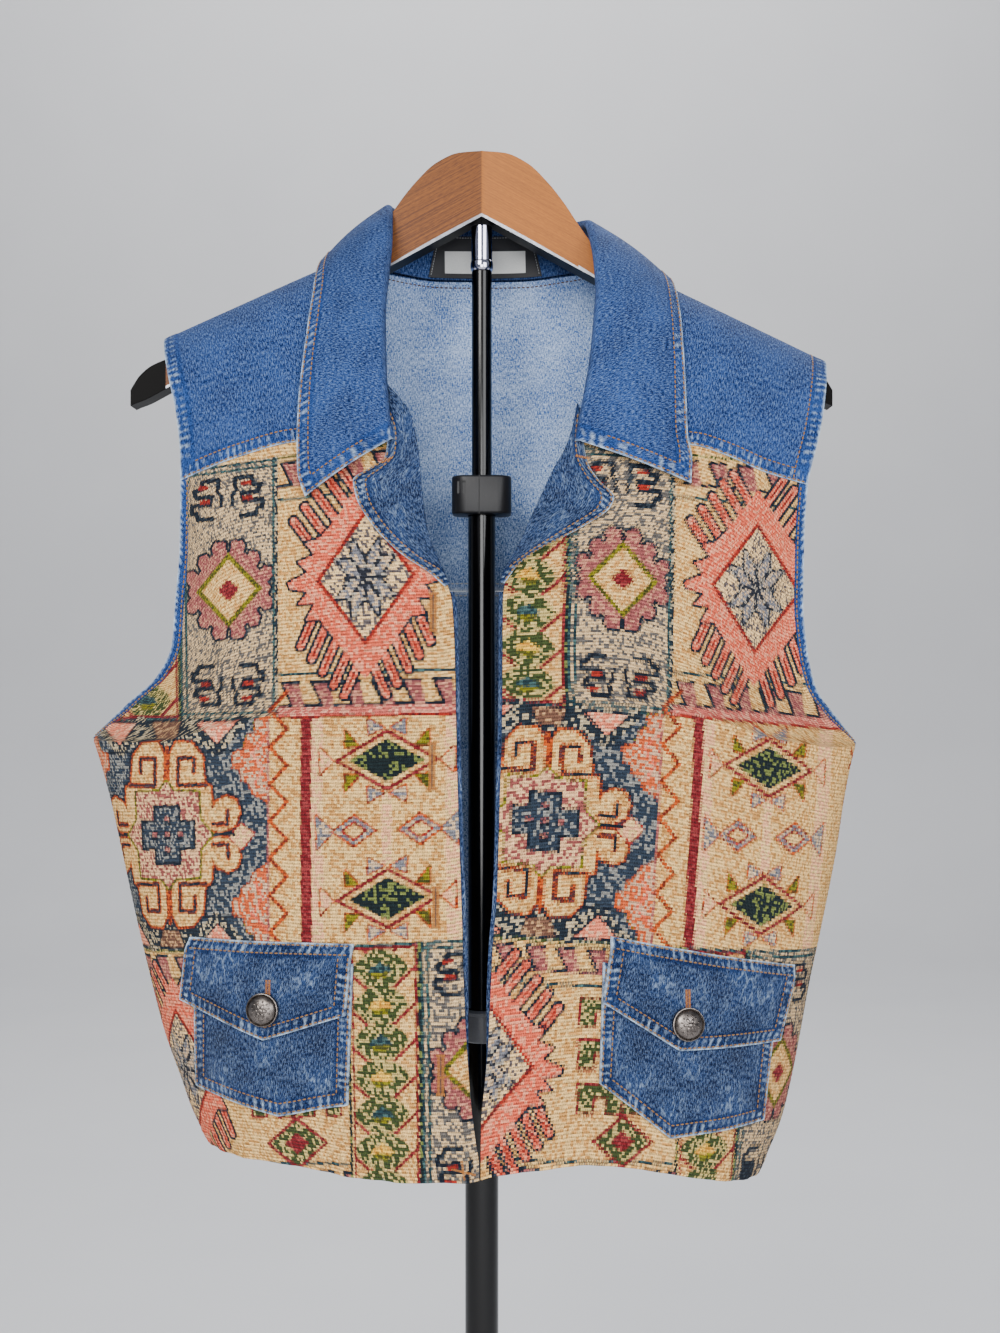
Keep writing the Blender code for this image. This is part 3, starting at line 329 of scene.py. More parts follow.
def body_column(name):
    return Curve([(row.height, getattr(row, name)) for row in BODY])


HALF_WIDTH = {RIGHT: body_column("right"), LEFT: body_column("left")}
DEPTH = {FRONT: body_column("front"), BACK: body_column("back")}
POWER = body_column("power")
ARMHOLE = {RIGHT: Curve(ARMHOLE_RIGHT), LEFT: Curve(ARMHOLE_LEFT)}
INNER = {RIGHT: Curve(INNER_RIGHT), LEFT: Curve(INNER_LEFT)}
HEM_HEIGHT = {FRONT: Curve(HEM), BACK: Curve(BACK_HEM)}
YOKE_HEIGHT = Curve(YOKE_SEAM)
BACK_NECK_HEIGHT = Curve(BACK_NECK)


def lerp(a, b, share):
    return a + (b - a) * share


def ease(share):
    share = np.clip(share, 0.0, 1.0)
    return share * share * (3 - 2 * share)


def hump(distance, half_width):
    """1 at distance 0, falling smoothly to 0 at half_width on both sides."""
    return 1 - ease(np.abs(distance) / half_width)


def ridge(x):
    """Height of the shoulder line."""
    slope = np.where(np.asarray(x) > 0, RIDGE_SLOPE[LEFT], RIDGE_SLOPE[RIGHT])
    return RIDGE_TOP - slope * np.hypot(x, RIDGE_SOFTNESS)


def sweep(x, z):
    """Forward shift of the shoulders, which follow the hanger's arms."""
    fade = ease((z - SWEEP_FADE_FROM) / (SWEEP_FADE_TO - SWEEP_FADE_FROM))
    return -SWEEP * fade * (np.hypot(x, SWEEP_SOFTNESS) - SWEEP_SOFTNESS)


def fold_depth(face, x, z):
    """Depth of the folds, and of the finer creases that lie on one face."""
    total = np.zeros(np.broadcast(x, z).shape)
    for fold in FOLDS:
        share = np.clip((x - fold.middle) / fold.half_width, -1, 1)
        low = ease((fold.fades_out_at - z) / (fold.fades_out_at - HEM[0][1]))
        total += fold.depth * low * np.cos(share * math.pi / 2) ** 2
    for crease in CREASES[face]:
        run, rise = crease.x1 - crease.x0, crease.z1 - crease.z0
        length = math.hypot(run, rise)
        along = ((x - crease.x0) * run + (z - crease.z0) * rise) / length ** 2
        bend = 0.15 * length * np.sin(math.pi * np.clip(along, 0, 1))
        aside = ((x - crease.x0) * rise - (z - crease.z0) * run) / length + bend
        total += crease.depth * hump(aside, 1.8 * crease.half_width) * hump(along - 0.5, 0.62)
    ripple = np.sin(61 * x + 23 * z) * np.sin(37 * z - 19 * x) + 0.6 * np.sin(131 * x - 47 * z + 1.3)
    return total + 0.0004 * ripple


def half_width(angle, z):
    return np.where(angle > 0, HALF_WIDTH[LEFT](z), HALF_WIDTH[RIGHT](z))


def angle_at(x, z):
    """Position round the body's section, from -90 to +90 degrees, of a distance from the middle."""
    x = np.asarray(x, dtype=float)
    return np.arcsin(np.clip(x / half_width(x, z), -1.0, 1.0))


def skin(face, angle, z, lift=0.0):
    """Points of the garment's outer surface, moved out by lift."""
    x = (half_width(angle, z) + lift) * np.sin(angle)
    across = np.maximum(np.cos(angle), 0.0)
    top = np.clip(1 - (ridge(x) - z) / SHOULDER_ROUND, 0.0, 1.0)
    depth = DEPTH[face](z) * across ** (2 * POWER(z)) + fold_depth(face, x, z) * across
    y = (depth + lift * across) * np.sqrt(1 - top * top) + SEAM_GAP / 2
    return np.stack(np.broadcast_arrays(x, sweep(x, z) + face * y, z + lift * top), -1)


def on_front(x, z, lift):
    return skin(FRONT, angle_at(x, z), z, lift)


def settle(angle_of, bottom, top, share):
    """Angle and height where a boundary meets a row at this share of the panel's height."""
    z = lerp(bottom(0.0 * share), top(0.0 * share), share)
    for _ in range(12):
        angle = angle_of(z)
        x = half_width(angle, z) * np.sin(angle)
        z = lerp(bottom(x), top(x), share)
    return angle, z


def panel_place(face, first, last, bottom, top, wall, share_of=lambda v: v, lift=0.0, hold=1.0):
    """Place function of a panel that lies between two boundary angles and two boundary heights.

    A hold above 1 keeps the columns upright and takes up the first boundary's curve close to it.
    """
    def place(u, v, depth):
        share = share_of(v)
        rows = share[0, :]
        start = settle(first, bottom, top, rows)[0][None, :]
        end = settle(last, bottom, top, rows)[0][None, :]
        wide = start[0, np.argmax(np.abs(start - end)[0])]
        angle = lerp(wide, end, u) + (start - wide) * (1 - u) ** hold
        _, z = settle(lambda height: angle, bottom, top, share)
        return skin(face, angle, z, lift - wall * depth)

    return place


def armhole_x(side, z, face):
    extra = BACK_ARMHOLE_EXTRA if face == BACK else 0.0
    fade = ease((z - UNDERARM[side]) / BAND_FADE)
    fade = fade * ease((BACK_ARMHOLE_TOP - z) / BACK_ARMHOLE_FADE)
    return np.minimum(ARMHOLE[side](z) + extra * fade, HALF_WIDTH[side](z))


def band_width(side, z):
    return lerp(BAND_TIP, BAND_WIDTH, ease((z - UNDERARM[side]) / BAND_FADE))


def outer_boundary(side, face, band=False):
    """Boundary angle at the side seam and, above the underarm, at the armhole."""
    def angle(z):
        x = armhole_x(side, z, face) - (band_width(side, z) if band else 0.0)
        return np.where(z < UNDERARM[side], side * math.pi / 2, angle_at(side * x, z))
    return angle


def inner_boundary(side):
    return lambda z: angle_at(side * INNER[side](z), z)


def underarm_share(side, face, top):
    x = side * HALF_WIDTH[side](UNDERARM[side])
    low = HEM_HEIGHT[face](x)
    return (UNDERARM[side] + SEAM_GAP - low) / (top(x) - low)


def panel_top(x):
    return YOKE_HEIGHT(x) - SEAM_GAP / 2


def yoke_rows(v):
    """Share of a yoke's height, with the rows closer together at the round of the shoulder."""
    return 1 - (1 - v) ** 1.35


# Sheets of cloth

class Sheet:
    """A wall of cloth on a grid of faces, which knows the distances along its own surface."""

    def __init__(self, place, across, up, relief=None):
        self.across, self.up = across, up
        u, v = np.meshgrid(np.linspace(0, 1, across + 1), np.linspace(0, 1, up + 1), indexing="ij")
        self.outer = place(u, v, 0.0)
        self.inner = place(u, v, 1.0)
        self.measure()
        if relief is not None:
            rise = self.normal * relief(self)[..., None]
            self.outer = self.outer + rise
            self.inner = self.inner + INNER_RELIEF * rise

    def measure(self):
        steps = np.linalg.norm(np.diff(self.outer, axis=0), axis=-1)
        self.s = np.concatenate([np.zeros((1, self.up + 1)), np.cumsum(steps, axis=0)])
        steps = np.linalg.norm(np.diff(self.outer, axis=1), axis=-1)
        self.t = np.concatenate([np.zeros((self.across + 1, 1)), np.cumsum(steps, axis=1)], axis=1)
        self.width = self.s[-1][None, :]
        self.height = self.t[:, -1][:, None]
        along = np.gradient(self.outer, axis=0)
        rise = np.gradient(self.outer, axis=1)
        normal = np.cross(along, rise)
        normal /= np.maximum(np.linalg.norm(normal, axis=-1, keepdims=True), 1e-12)
        outward = np.sum(normal * (self.outer - self.inner)) > 0
        self.normal = normal if outward else -normal

    def from_edge(self, edge):
        """Distance of each point from an edge."""
        return {"first": self.s, "last": self.width - self.s,
                "bottom": self.t, "top": self.height - self.t}[edge]

    def along(self, edge):
        return self.t if edge in ("first", "last") else self.s

    def sample(self, grid, i, j):
        """Value of a grid at whole and part steps."""
        i0 = np.clip(np.floor(i).astype(int), 0, self.across - 1)
        j0 = np.clip(np.floor(j).astype(int), 0, self.up - 1)
        a, b = (i - i0)[:, None], (j - j0)[:, None]
        low = lerp(grid[i0, j0], grid[i0 + 1, j0], a)
        high = lerp(grid[i0, j0 + 1], grid[i0 + 1, j0 + 1], a)
        return lerp(low, high, b)

    def row(self, edge, inset, trims=(0.0, 0.0), face="outer"):
        """Points and normals along an edge, at a distance from it, with the ends trimmed."""
        away = self.from_edge(edge)
        if edge in ("first", "last"):
            j = np.arange(self.up + 1, dtype=float)
            i = np.array([self.crossing(away[:, int(k)], inset) for k in j])
        else:
            i = np.arange(self.across + 1, dtype=float)
            j = np.array([self.crossing(away[int(k), :], inset) for k in i])
        points = self.sample(getattr(self, face), i, j)
        normals = self.sample(self.normal, i, j) * (1 if face == "outer" else -1)
        run = distances(points)
        keep = (run >= trims[0]) & (run <= run[-1] - trims[1])
        return points[keep], normals[keep]

    @staticmethod
    def crossing(away, inset):
        steps = np.arange(len(away), dtype=float)
        if away[0] > away[-1]:
            return np.interp(inset, away[::-1], steps[::-1])
        return np.interp(inset, away, steps)

    def build(self, name, finishes, layers=None):
        """Mesh object of the closed wall, with the finishes of its outer side, inner side and rim."""
        bm = bmesh.new()
        bmesh.ops.create_grid(bm, x_segments=self.across, y_segments=self.up, size=1.0)
        made = bmesh.ops.extrude_face_region(bm, geom=bm.faces[:], use_keep_orig=True)
        inner = [item for item in made["geom"] if isinstance(item, bmesh.types.BMVert)]
        bmesh.ops.translate(bm, vec=(0, 0, -1), verts=inner)
        bmesh.ops.recalc_face_normals(bm, faces=bm.faces[:])
        mesh = baked(name, bm)
        flat = numbers(mesh.vertices, "co", 3)
        i = np.rint((flat[:, 0] + 1) / 2 * self.across).astype(int)
        j = np.rint((flat[:, 1] + 1) / 2 * self.up).astype(int)
        inside = flat[:, 2] < -0.5
        loops = numbers(mesh.loops, "vertex_index", 1).astype(int)
        counts = numbers(mesh.polygons, "loop_total", 1).astype(int)
        owner = np.repeat(np.arange(len(counts)), counts)
        share = np.bincount(owner, weights=inside[loops]) / counts
        place = np.where(inside[:, None], self.inner[i, j], self.outer[i, j])
        starts = np.cumsum(counts) - counts
        cell_i = np.minimum(np.minimum.reduceat(i[loops], starts), self.across - 1)[owner]
        cell_j = np.minimum(np.minimum.reduceat(j[loops], starts), self.up - 1)[owner]
        self.corners = np.stack([2 * cell_i + np.minimum(i[loops] - cell_i, 1),
                                 2 * cell_j + np.minimum(j[loops] - cell_j, 1)], -1)
        mesh.vertices.foreach_set("co", place.ravel())
        mesh.polygons.foreach_set("material_index", np.where(share == 0, 0, np.where(share == 1, 1, 2)))
        measures = np.stack([self.s[i, j] - self.width[0, j] / 2, self.t[i, j]], -1)
        mesh.uv_layers.new(name="cloth").data.foreach_set("uv", measures[loops].astype(np.float32).ravel())
        for layer, values in (layers or {}).items():
            spot = mesh.attributes.new(layer, "FLOAT", "POINT")
            spot.data.foreach_set("value", values[i, j].astype(np.float32))
        mesh.update()
        if signed_volume(mesh) < 0:
            mesh.flip_normals()
        return finished(name, mesh, finishes)


def distances(points):
    """Distance of each point from the first, along the line through them."""
    return np.concatenate([[0.0], np.cumsum(np.linalg.norm(np.diff(points, axis=0), axis=1))])


def between(places, run, values):
    """Values at places along a line, between those of its points."""
    return np.stack([np.interp(places, run, column) for column in values.T], -1)


def numbers(items, name, size):
    """Values of a mesh's items as an array."""
    values = np.zeros(len(items) * size)
    items.foreach_get(name, values)
    return values.reshape(-1, size) if size > 1 else values


def signed_volume(mesh):
    mesh.calc_loop_triangles()
    corners = np.zeros(len(mesh.loop_triangles) * 3, dtype=np.int32)
    mesh.loop_triangles.foreach_get("vertices", corners)
    a, b, c = numbers(mesh.vertices, "co", 3)[corners.reshape(-1, 3)].transpose(1, 0, 2)
    return float((a * np.cross(b, c)).sum())


def baked(name, bm):
    """Mesh of a bmesh, which is freed."""
    mesh = bpy.data.meshes.new(name)
    bm.to_mesh(mesh)
    bm.free()
    return mesh


def linked(name, data):
    """New object of this data, in the scene."""
    made = bpy.data.objects.new(name, data)
    bpy.context.scene.collection.objects.link(made)
    return made


def finished(name, mesh, finishes, smooth_angle=50):
    made = linked(name, mesh)
    for finish in finishes:
        mesh.materials.append(finish)
    mesh.shade_smooth()
    mesh.set_sharp_from_angle(angle=math.radians(smooth_angle))
    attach(made, "root")
    return made


def puckers(sheet, edges, reach, height):
    """Ripples that a sewn seam draws up beside each edge."""
    total = np.zeros_like(sheet.s)
    for count, edge in enumerate(edges):
        away, along = sheet.from_edge(edge), sheet.along(edge)
        drift = 0.33 * np.sin(151 * along + count) + 0.21 * np.sin(67 * along + 2 * count)
        wave = np.sin(2 * math.pi * (along / PUCKER_PITCH + drift) + 260 * away)
        swell = 0.55 + 0.45 * np.sin(211 * along + 3 * count) * np.sin(57 * along + count)
        total += height * wave * swell * hump(away - 0.45 * reach, 0.75 * reach)
    return total


def seam_relief(edges, reach=SEAM_REACH, height=0.00028, step=0.00035):
    """Relief of a denim piece: a thicker sewn margin along its edges, and the puckers across it."""
    def relief(sheet):
        margin = np.zeros_like(sheet.s)
        for edge in edges:
            margin = np.maximum(margin, ease((reach + 0.001 - sheet.from_edge(edge)) / 0.0015))
        return step * margin + puckers(sheet, edges, reach, height)
    return relief


def wear_and_relief_shading_of(sheet, edges, reach=SEAM_REACH):
    """How pale the denim is: worn along its folded edges, with painted highlight on the crests of the puckers
    beside the seams and painted shade in their troughs and in two channels along the seam margin.
    """
    total = 0.1 * np.ones_like(sheet.s)
    crests = puckers(sheet, edges, reach, 1.0)
    for edge in edges:
        away, along = sheet.from_edge(edge), sheet.along(edge)
        patchy = 0.62 + 0.38 * np.sin(330 * along) * np.sin(91 * along + 1)
        # Two channels along the seam margin are darker: painted shade in the grooves.
        channel = hump(away - 0.0031, 0.0016) + hump(away - reach - 0.0009, 0.0016)
        total += 0.85 * patchy * np.exp(-((away / 0.0009) ** 2)) - 0.28 * channel
    # Crests of the puckers paler and their troughs darker: painted highlight and shade on the relief.
    return np.clip(total + 0.6 * np.clip(crests, -0.5, 1), 0, 1)


# Threads

class Threads:
    """Rows of stitches in one thread, gathered and then made as one piece."""

    def __init__(self):
        self.stitches = []

    def row(self, line, pitch, thickness, lift=0.0001, share=0.8):
        points, normals = line
        run = distances(points)
        count = int(run[-1] / pitch)
        for k in range(count):
            middle = (k + 0.5) * run[-1] / count
            ends = [between(middle + half * pitch * share / 2, run, points) for half in (-1, 1)]
            self.add(*ends, between(middle, run, normals), thickness, lift)

    def add(self, start, end, normal, thickness, lift=0.0001):
        self.stitches.append((start, end, normal, thickness, lift))

    def build(self, name, finish):
        """One mesh of all the stitches, each a copy of one small rounded bead drawn out along its stitch."""
        bm = bmesh.new()
        bmesh.ops.create_uvsphere(bm, u_segments=6, v_segments=4, radius=1.0,
                                  matrix=Matrix.Rotation(math.pi / 2, 4, "Y"))
        bead = np.array([vert.co for vert in bm.verts])
        faces = [[vert.index for vert in face.verts] for face in bm.faces]
        bm.free()
        start, end, normal, thickness, lift = (
            np.array(values, dtype=float) for values in zip(*self.stitches))
        thickness, lift = thickness[:, None], lift[:, None]
        along = end - start
        aside = unit(np.cross(along, normal))
        out = unit(np.cross(aside, along))
        centre = (start + end) / 2 + unit(normal) * lift
        axes = np.stack([along / 2, aside * thickness / 2, out * thickness * STITCH_FLAT / 2], 1)
        verts = centre[:, None, :] + np.einsum("vk,nkc->nvc", bead, axes)
        mesh = bpy.data.meshes.new(name)
        mesh.from_pydata(verts.reshape(-1, 3).tolist(), [],
                         [[v + k * len(bead) for v in face] for k in range(len(start)) for face in faces])
        if signed_volume(mesh) < 0:
            mesh.flip_normals()
        return finished(name, mesh, [finish], smooth_angle=80)


# Materials

class Wire:
    """A value or colour in a material. Arithmetic on values adds Math nodes."""

    def __init__(self, finish, socket):
        self.finish = finish
        self.socket = socket

    def math(self, operation, a, b):
        return self.finish.node("ShaderNodeMath", {"operation": operation}, {0: a, 1: b})


for sign, kind in (("add", "ADD"), ("sub", "SUBTRACT"), ("mul", "MULTIPLY")):
    setattr(Wire, f"__{sign}__", lambda self, other, kind=kind: self.math(kind, self, other))
    setattr(Wire, f"__r{sign}__", lambda self, other, kind=kind: self.math(kind, other, self))


class Finish:
    """A material whose nodes are added one at a time."""

    def __init__(self, name, **constants):
        self.material = bpy.data.materials.new(name)
        self.material.use_nodes = True
        self.tree = self.material.node_tree
        self.shader = self.tree.nodes["Principled BSDF"]
        for socket, value in constants.items():
            self.shader.inputs[socket.replace("_", " ")].default_value = value

    def node(self, kind, settings=None, sockets=None, output=0):
        made = self.tree.nodes.new(kind)
        for name, value in (settings or {}).items():
            setattr(made, name, value)
        for key, value in (sockets or {}).items():
            if isinstance(value, Wire):
                self.tree.links.new(value.socket, made.inputs[key])
            else:
                made.inputs[key].default_value = value
        return Wire(self, made.outputs[output])

    def feed(self, socket, wire):
        self.tree.links.new(wire.socket, self.shader.inputs[socket])

    def cloth(self, scale=(1.0, 1.0, 1.0)):
        """Measures along the cloth, in metres, times a scale."""
        measures = self.node("ShaderNodeUVMap", {"uv_map": "cloth"})
        return self.node("ShaderNodeVectorMath", {"operation": "MULTIPLY"}, {0: measures, 1: scale})

    def place(self, scale=(1.0, 1.0, 1.0)):
        spot = self.node("ShaderNodeTexCoord", output="Object")
        return self.node("ShaderNodeVectorMath", {"operation": "MULTIPLY"}, {0: spot, 1: scale})

    def attribute(self, name, output="Fac"):
        return self.node("ShaderNodeAttribute", {"attribute_name": name}, output=output)

    def noise(self, scale, detail, roughness=0.5):
        """Noise along the cloth where the scale is a pair, else in the object's own space."""
        vector = self.cloth((*scale, 1.0)) if isinstance(scale, tuple) else self.place((scale,) * 3)
        return self.node("ShaderNodeTexNoise", {"noise_dimensions": "3D"},
                         {"Vector": vector, "Scale": 1.0, "Detail": detail, "Roughness": roughness})

    def clamp(self, value, low=0.0, high=1.0):
        return self.node("ShaderNodeClamp", None, {"Value": value, "Min": low, "Max": high})

    def mix(self, factor, a, b, blend="MIX"):
        return self.node("ShaderNodeMix", {"data_type": "RGBA", "blend_type": blend},
                         {0: factor, 6: solid(a), 7: solid(b)}, output=2)

    def wave(self, value, operation="SINE"):
        return self.node("ShaderNodeMath", {"operation": operation}, {0: value})

    def split(self, vector):
        """The first two parts of a vector."""
        made = self.node("ShaderNodeSeparateXYZ", None, {0: vector})
        return made, Wire(self, made.socket.node.outputs[1])

    def colour(self, factor, a, b):
        """Feeds the base colour: a where the factor is 0, b where it is 1."""
        self.feed("Base Color", self.mix(factor, a, b))

    def relief(self, height, distance, strength):
        self.feed("Normal", self.node("ShaderNodeBump", None,
                                      {"Height": height, "Distance": distance, "Strength": strength}))


def linear(red, green, blue):
    """Linear colour of the 0-255 values that a colour picker shows."""
    def channel(value):
        value /= 255
        return value / 12.92 if value <= 0.04045 else ((value + 0.055) / 1.055) ** 2.4
    return (channel(red), channel(green), channel(blue))


def solid(colour):
    """A colour with its alpha, or a wire as it is."""
    return colour if isinstance(colour, Wire) else (*tuple(colour)[:3], 1.0)


def denim(name, deep, plain, faded, reverse=False, creased=0.0):
    """Twill with slubs along the warp, soft mottling, worn creases, and worn edges with painted highlight and
    shade over the seam relief.
    """
    finish = Finish(name, Roughness=0.9, Specular_IOR_Level=0.12, Sheen_Weight=0.04, Sheen_Roughness=0.4)
    across, up = finish.split(finish.cloth())
    slubs = finish.noise((1450.0, 380.0), 2.0, 0.6)
    specks = finish.noise((980.0, 1050.0), 1.0)
    patches = finish.noise((34.0, 34.0), 3.0, 0.55)
    twill = finish.wave((across + up * (1.0 if reverse else -1.0)) * TWILL)
    shade = finish.clamp(slubs * 2.4 + specks * 2.0 + patches * (1.0 + creased) + twill * 0.1
                         - 2.22 - 0.5 * creased)
    base = finish.mix(shade, deep, plain)
    wear_and_relief_shading = finish.attribute("wear_and_relief_shading")
    folds = finish.noise((120.0, 42.0), 3.0, 0.6) - 0.5
    ridges = finish.clamp(1.0 - folds * folds * 900.0) * finish.clamp(patches * 4.0 - 1.7) * creased
    # The attribute brings the worn edges and the painted highlight and shade of the seam puckers.
    worn_and_relief_shaded = wear_and_relief_shading * (0.35 + slubs * 1.1 + specks * 0.7)
    pale = finish.clamp(worn_and_relief_shaded + ridges * slubs * 0.6 + slubs * 0.7 - 0.44)
    finish.colour(pale, base, faded)
    finish.relief(twill * 0.35 + slubs * 0.9 + specks * 0.6, 0.0004, 0.9)
    return finish.material


def thread(name, colour, dark):
    finish = Finish(name, Roughness=0.62, Sheen_Weight=0.2)
    finish.colour(finish.noise(900.0, 1.0), dark, colour)
    return finish.material


# Tapestry

# Each colour is two threads, and the share of the first where they are mixed at random
PALETTE = {
    "cream": ((240, 204, 138), (206, 156, 92), 0.62), "check": ((232, 190, 150), (150, 84, 84), 0.6),
    "pale": ((240, 210, 160), (96, 92, 98), 0.62), "coral": ((224, 104, 82), (242, 158, 132), 0.6),
    "brick": ((158, 46, 38), (112, 34, 38), 0.6), "burgundy": ((112, 28, 38), (142, 54, 60), 0.6),
    "navy": ((20, 30, 46), (44, 56, 70), 0.7), "teal": ((30, 56, 68), (62, 96, 102), 0.6),
    "grey": ((212, 188, 150), (98, 98, 100), 0.58), "olive": ((124, 124, 28), (74, 78, 30), 0.6),
    "green": ((58, 74, 42), (196, 182, 118), 0.6), "mauve": ((150, 86, 90), (196, 138, 122), 0.6),
    "slate": ((44, 58, 78), (136, 142, 146), 0.62), "pink": ((236, 138, 112), (246, 190, 162), 0.6),
    "rust": ((190, 82, 30), (120, 44, 32), 0.6), "dusty": ((204, 108, 102), (232, 164, 146), 0.6),
    "yellow": ((244, 200, 84), (206, 150, 52), 0.6), "dark": ((22, 36, 42), (110, 126, 70), 0.68),
    "brown": ((112, 82, 70), (184, 148, 112), 0.6), "mottle": ((206, 96, 56), (210, 176, 150), 0.5),
    "night": ((32, 44, 58), (186, 176, 150), 0.62), "silver": ((118, 124, 140), (208, 186, 158), 0.55),
    "blush": ((242, 184, 148), (238, 206, 148), 0.5), "ink": ((36, 42, 56), (166, 164, 158), 0.72),
}
COLOURS = list(PALETTE)
PIXEL = 0.000632
BURST_WIDE = 290
BURST_TALL = 263
MEDALLION_TALL = 230
REPEAT = 463
REPEATS = (-REPEAT, 0, REPEAT)
SPECKLE_PAIRS = 0.08
SHADE_SPREAD = 0.1


class Loom:
    """Threads of one front, each with its place on the pattern and its colour."""

    def __init__(self, x, y, colour=None):
        self.x, self.y = x, y
        self.colour = np.zeros(x.shape, dtype=int) if colour is None else colour

    def at(self, x, y, flip=1, rise=1):
        """The same threads measured from (x, y), and mirrored where flip or rise is -1."""
        return Loom((self.x - x) * flip, (self.y - y) * rise, self.colour)

    def corners(self):
        return [self.at(0, 0, flip, rise) for rise in (-1, 1) for flip in (-1, 1)]

    def sides(self):
        return [self.at(0, 0, flip) for flip in (-1, 1)]

    def ends(self):
        return [self.at(0, 0, 1, rise) for rise in (-1, 1)]

    def lay(self, inside, colour):
        self.colour[inside] = COLOURS.index(colour)

    def box(self, x0, y0, x1, y1, colour):
        self.lay((self.x >= x0) & (self.x < x1) & (self.y >= y0) & (self.y < y1), colour)

    def diamonds(self, *sizes):
        for wide, tall, colour in sizes:
            self.lay(2 * np.abs(self.x) / wide + 2 * np.abs(self.y) / tall < 1, colour)

    def polygon(self, points, colour):
        inside = np.zeros(self.x.shape, dtype=bool)
        for (x0, y0), (x1, y1) in zip(points, points[1:] + points[:1]):
            if y0 != y1:
                spans = (y0 > self.y) != (y1 > self.y)
                inside ^= spans & (self.x < x0 + (self.y - y0) * (x1 - x0) / (y1 - y0))
        self.lay(inside, colour)

    def line(self, points, width, colour):
        for (x0, y0), (x1, y1) in zip(points, points[1:]):
            run, rise = x1 - x0, y1 - y0
            along = np.clip(((self.x - x0) * run + (self.y - y0) * rise) / (run * run + rise * rise), 0, 1)
            away = np.hypot(self.x - x0 - along * run, self.y - y0 - along * rise)
            self.lay(away < width / 2, colour)

    def outlined(self, points, width, edge, fill):
        self.line(points + points[:1], width, edge)
        self.polygon(points, fill)


def both_sides(half):
    return half + [(-x, y) for x, y in reversed(half)]


def mirrored(quarter):
    """Closed outline from the quarter that runs from its top to its right side."""
    upper = quarter + [(x, -y) for x, y in reversed(quarter) if y != 0]
    return upper + [(-x, y) for x, y in reversed(upper) if x != 0]


def paint_weft(made, sheet, side):
    """Gives every thread of a front its colour, from the pattern's motifs."""
    middle = side * PATTERN_LINE
    anchor = np.array([np.interp(Sheet.crossing(sheet.outer[:, j, 0], middle), np.arange(sheet.across + 1),
                                 sheet.s[:, j]) for j in range(sheet.up + 1)])
    x = PHOTO_WIDE / 2 + (middle - CAMERA_PLACE[0] - side * (sheet.s - anchor[None, :])) / PIXEL
    y = PATTERN_ROWS(sheet.outer[..., 2])
    x = halves(x - PATTERN_LEAN[side](y))
    y = halves(y)
    y = y - PATTERN_TILT[side](y) * (x - PATTERN_HINGE[side])
    loom = Loom(x, y)
    weave(loom, side)
    shades = np.array([[(*linear(*shade), 1.0) for shade in PALETTE[name][:2]] for name in COLOURS])
    shares = np.array([PALETTE[name][2] for name in COLOURS])
    chance = np.random.default_rng(7)
    draw = chance.random((sheet.across, sheet.up))
    draw = np.where(chance.random(draw.shape) < SPECKLE_PAIRS, np.roll(draw, 1, axis=0), draw)
    values = shades[loom.colour, (doubled(draw) > shares[loom.colour]).astype(int)]
    shift = np.clip(chance.normal(1.0, SHADE_SPREAD, draw.shape), 0.7, 1.3)
    values[..., :3] *= doubled(shift)[..., None]
    layer = made.data.color_attributes.new(name="weft", type="FLOAT_COLOR", domain="CORNER")
    chosen = values[sheet.corners[:, 0], sheet.corners[:, 1]]
    layer.data.foreach_set("color", np.clip(chosen, 0, 1).astype(np.float32).ravel())


def doubled(grid):
    return grid.repeat(2, axis=0).repeat(2, axis=1)


def halves(grid):
    """Values at the quarter points of each cell of a grid, from its corners."""
    for axis in (0, 1):
        low = np.take(grid, range(grid.shape[axis] - 1), axis)
        high = np.take(grid, range(1, grid.shape[axis]), axis)
        pair = np.stack([lerp(low, high, 0.25), lerp(low, high, 0.75)], axis + 1)
        shape = list(low.shape)
        shape[axis] *= 2
        grid = pair.reshape(shape)
    return grid


def weave(loom, side):
    """Bands of blocks: leaves, gears and sunbursts, then medallions and diamonds, then the first again."""
    for top, border in BURSTS[side]:
        for shift in REPEATS:
            sunburst(loom.at(border + shift, top))
            leaves(loom.at(border + shift - 176, top))
            gears(loom.at(border + shift - 106, top))
    top, bar = MEDALLIONS[side]
    for shift in REPEATS:
        medallion(loom.at(bar + shift - 308, top))
    for shift in REPEATS:
        spiked_diamonds(loom.at(bar + shift + 5, top))


def leaves(loom):
    """Upright strip of leaves."""
    tall = BURST_TALL
    loom.box(0, 0, 70, tall, "cream")
    for k in range(-1, 8):
        leaf = loom.at(30, 10 + k * 36)
        leaf.line([(-27, 22), (-13, 35)], 3.5, "burgundy")
        leaf.line([(38, 12), (13, 35)], 3.5, "burgundy")
        leaf.polygon(both_sides([(0, -2), (13, -1), (24, 8), (28, 16), (24, 21), (13, 32), (0, 36)]), "green")
        leaf.polygon([(-12, 19), (-9, 13), (-3, 11), (0, 7), (3, 11), (9, 13), (12, 19)],
                     "yellow" if k % 2 else "teal")
        leaf.polygon([(-10, 19), (10, 19), (5, 25), (-5, 25)], "olive")
    for low, colour in ((0, "teal"), (3, "burgundy"), (tall - 6, "burgundy"), (tall - 3, "teal")):
        loom.box(0, low, 70, low + 3, colour)
    for left, right, colour in ((-3, 0, "dark"), (1.5, 3.5, "burgundy"), (64, 66.5, "burgundy"),
                                (67, 70, "dark")):
        loom.box(left, 0, right, tall, colour)


GEAR = [(0, -36), (3, -42), (3, -49), (14, -50), (18, -44), (16, -37), (21, -34), (23, -38), (31, -36),
        (33, -29), (29, -22), (33, -17), (38, -22), (45, -20), (46, -12), (41, -6), (44, 0)]
HOOK = [(-8, -20), (8, -20), (10, -13), (15, -13), (15, -5), (-5, -5), (-7, 3), (10, 3), (13, 10), (4, 11),
        (4, 19), (-14, 19), (-14, 11)]


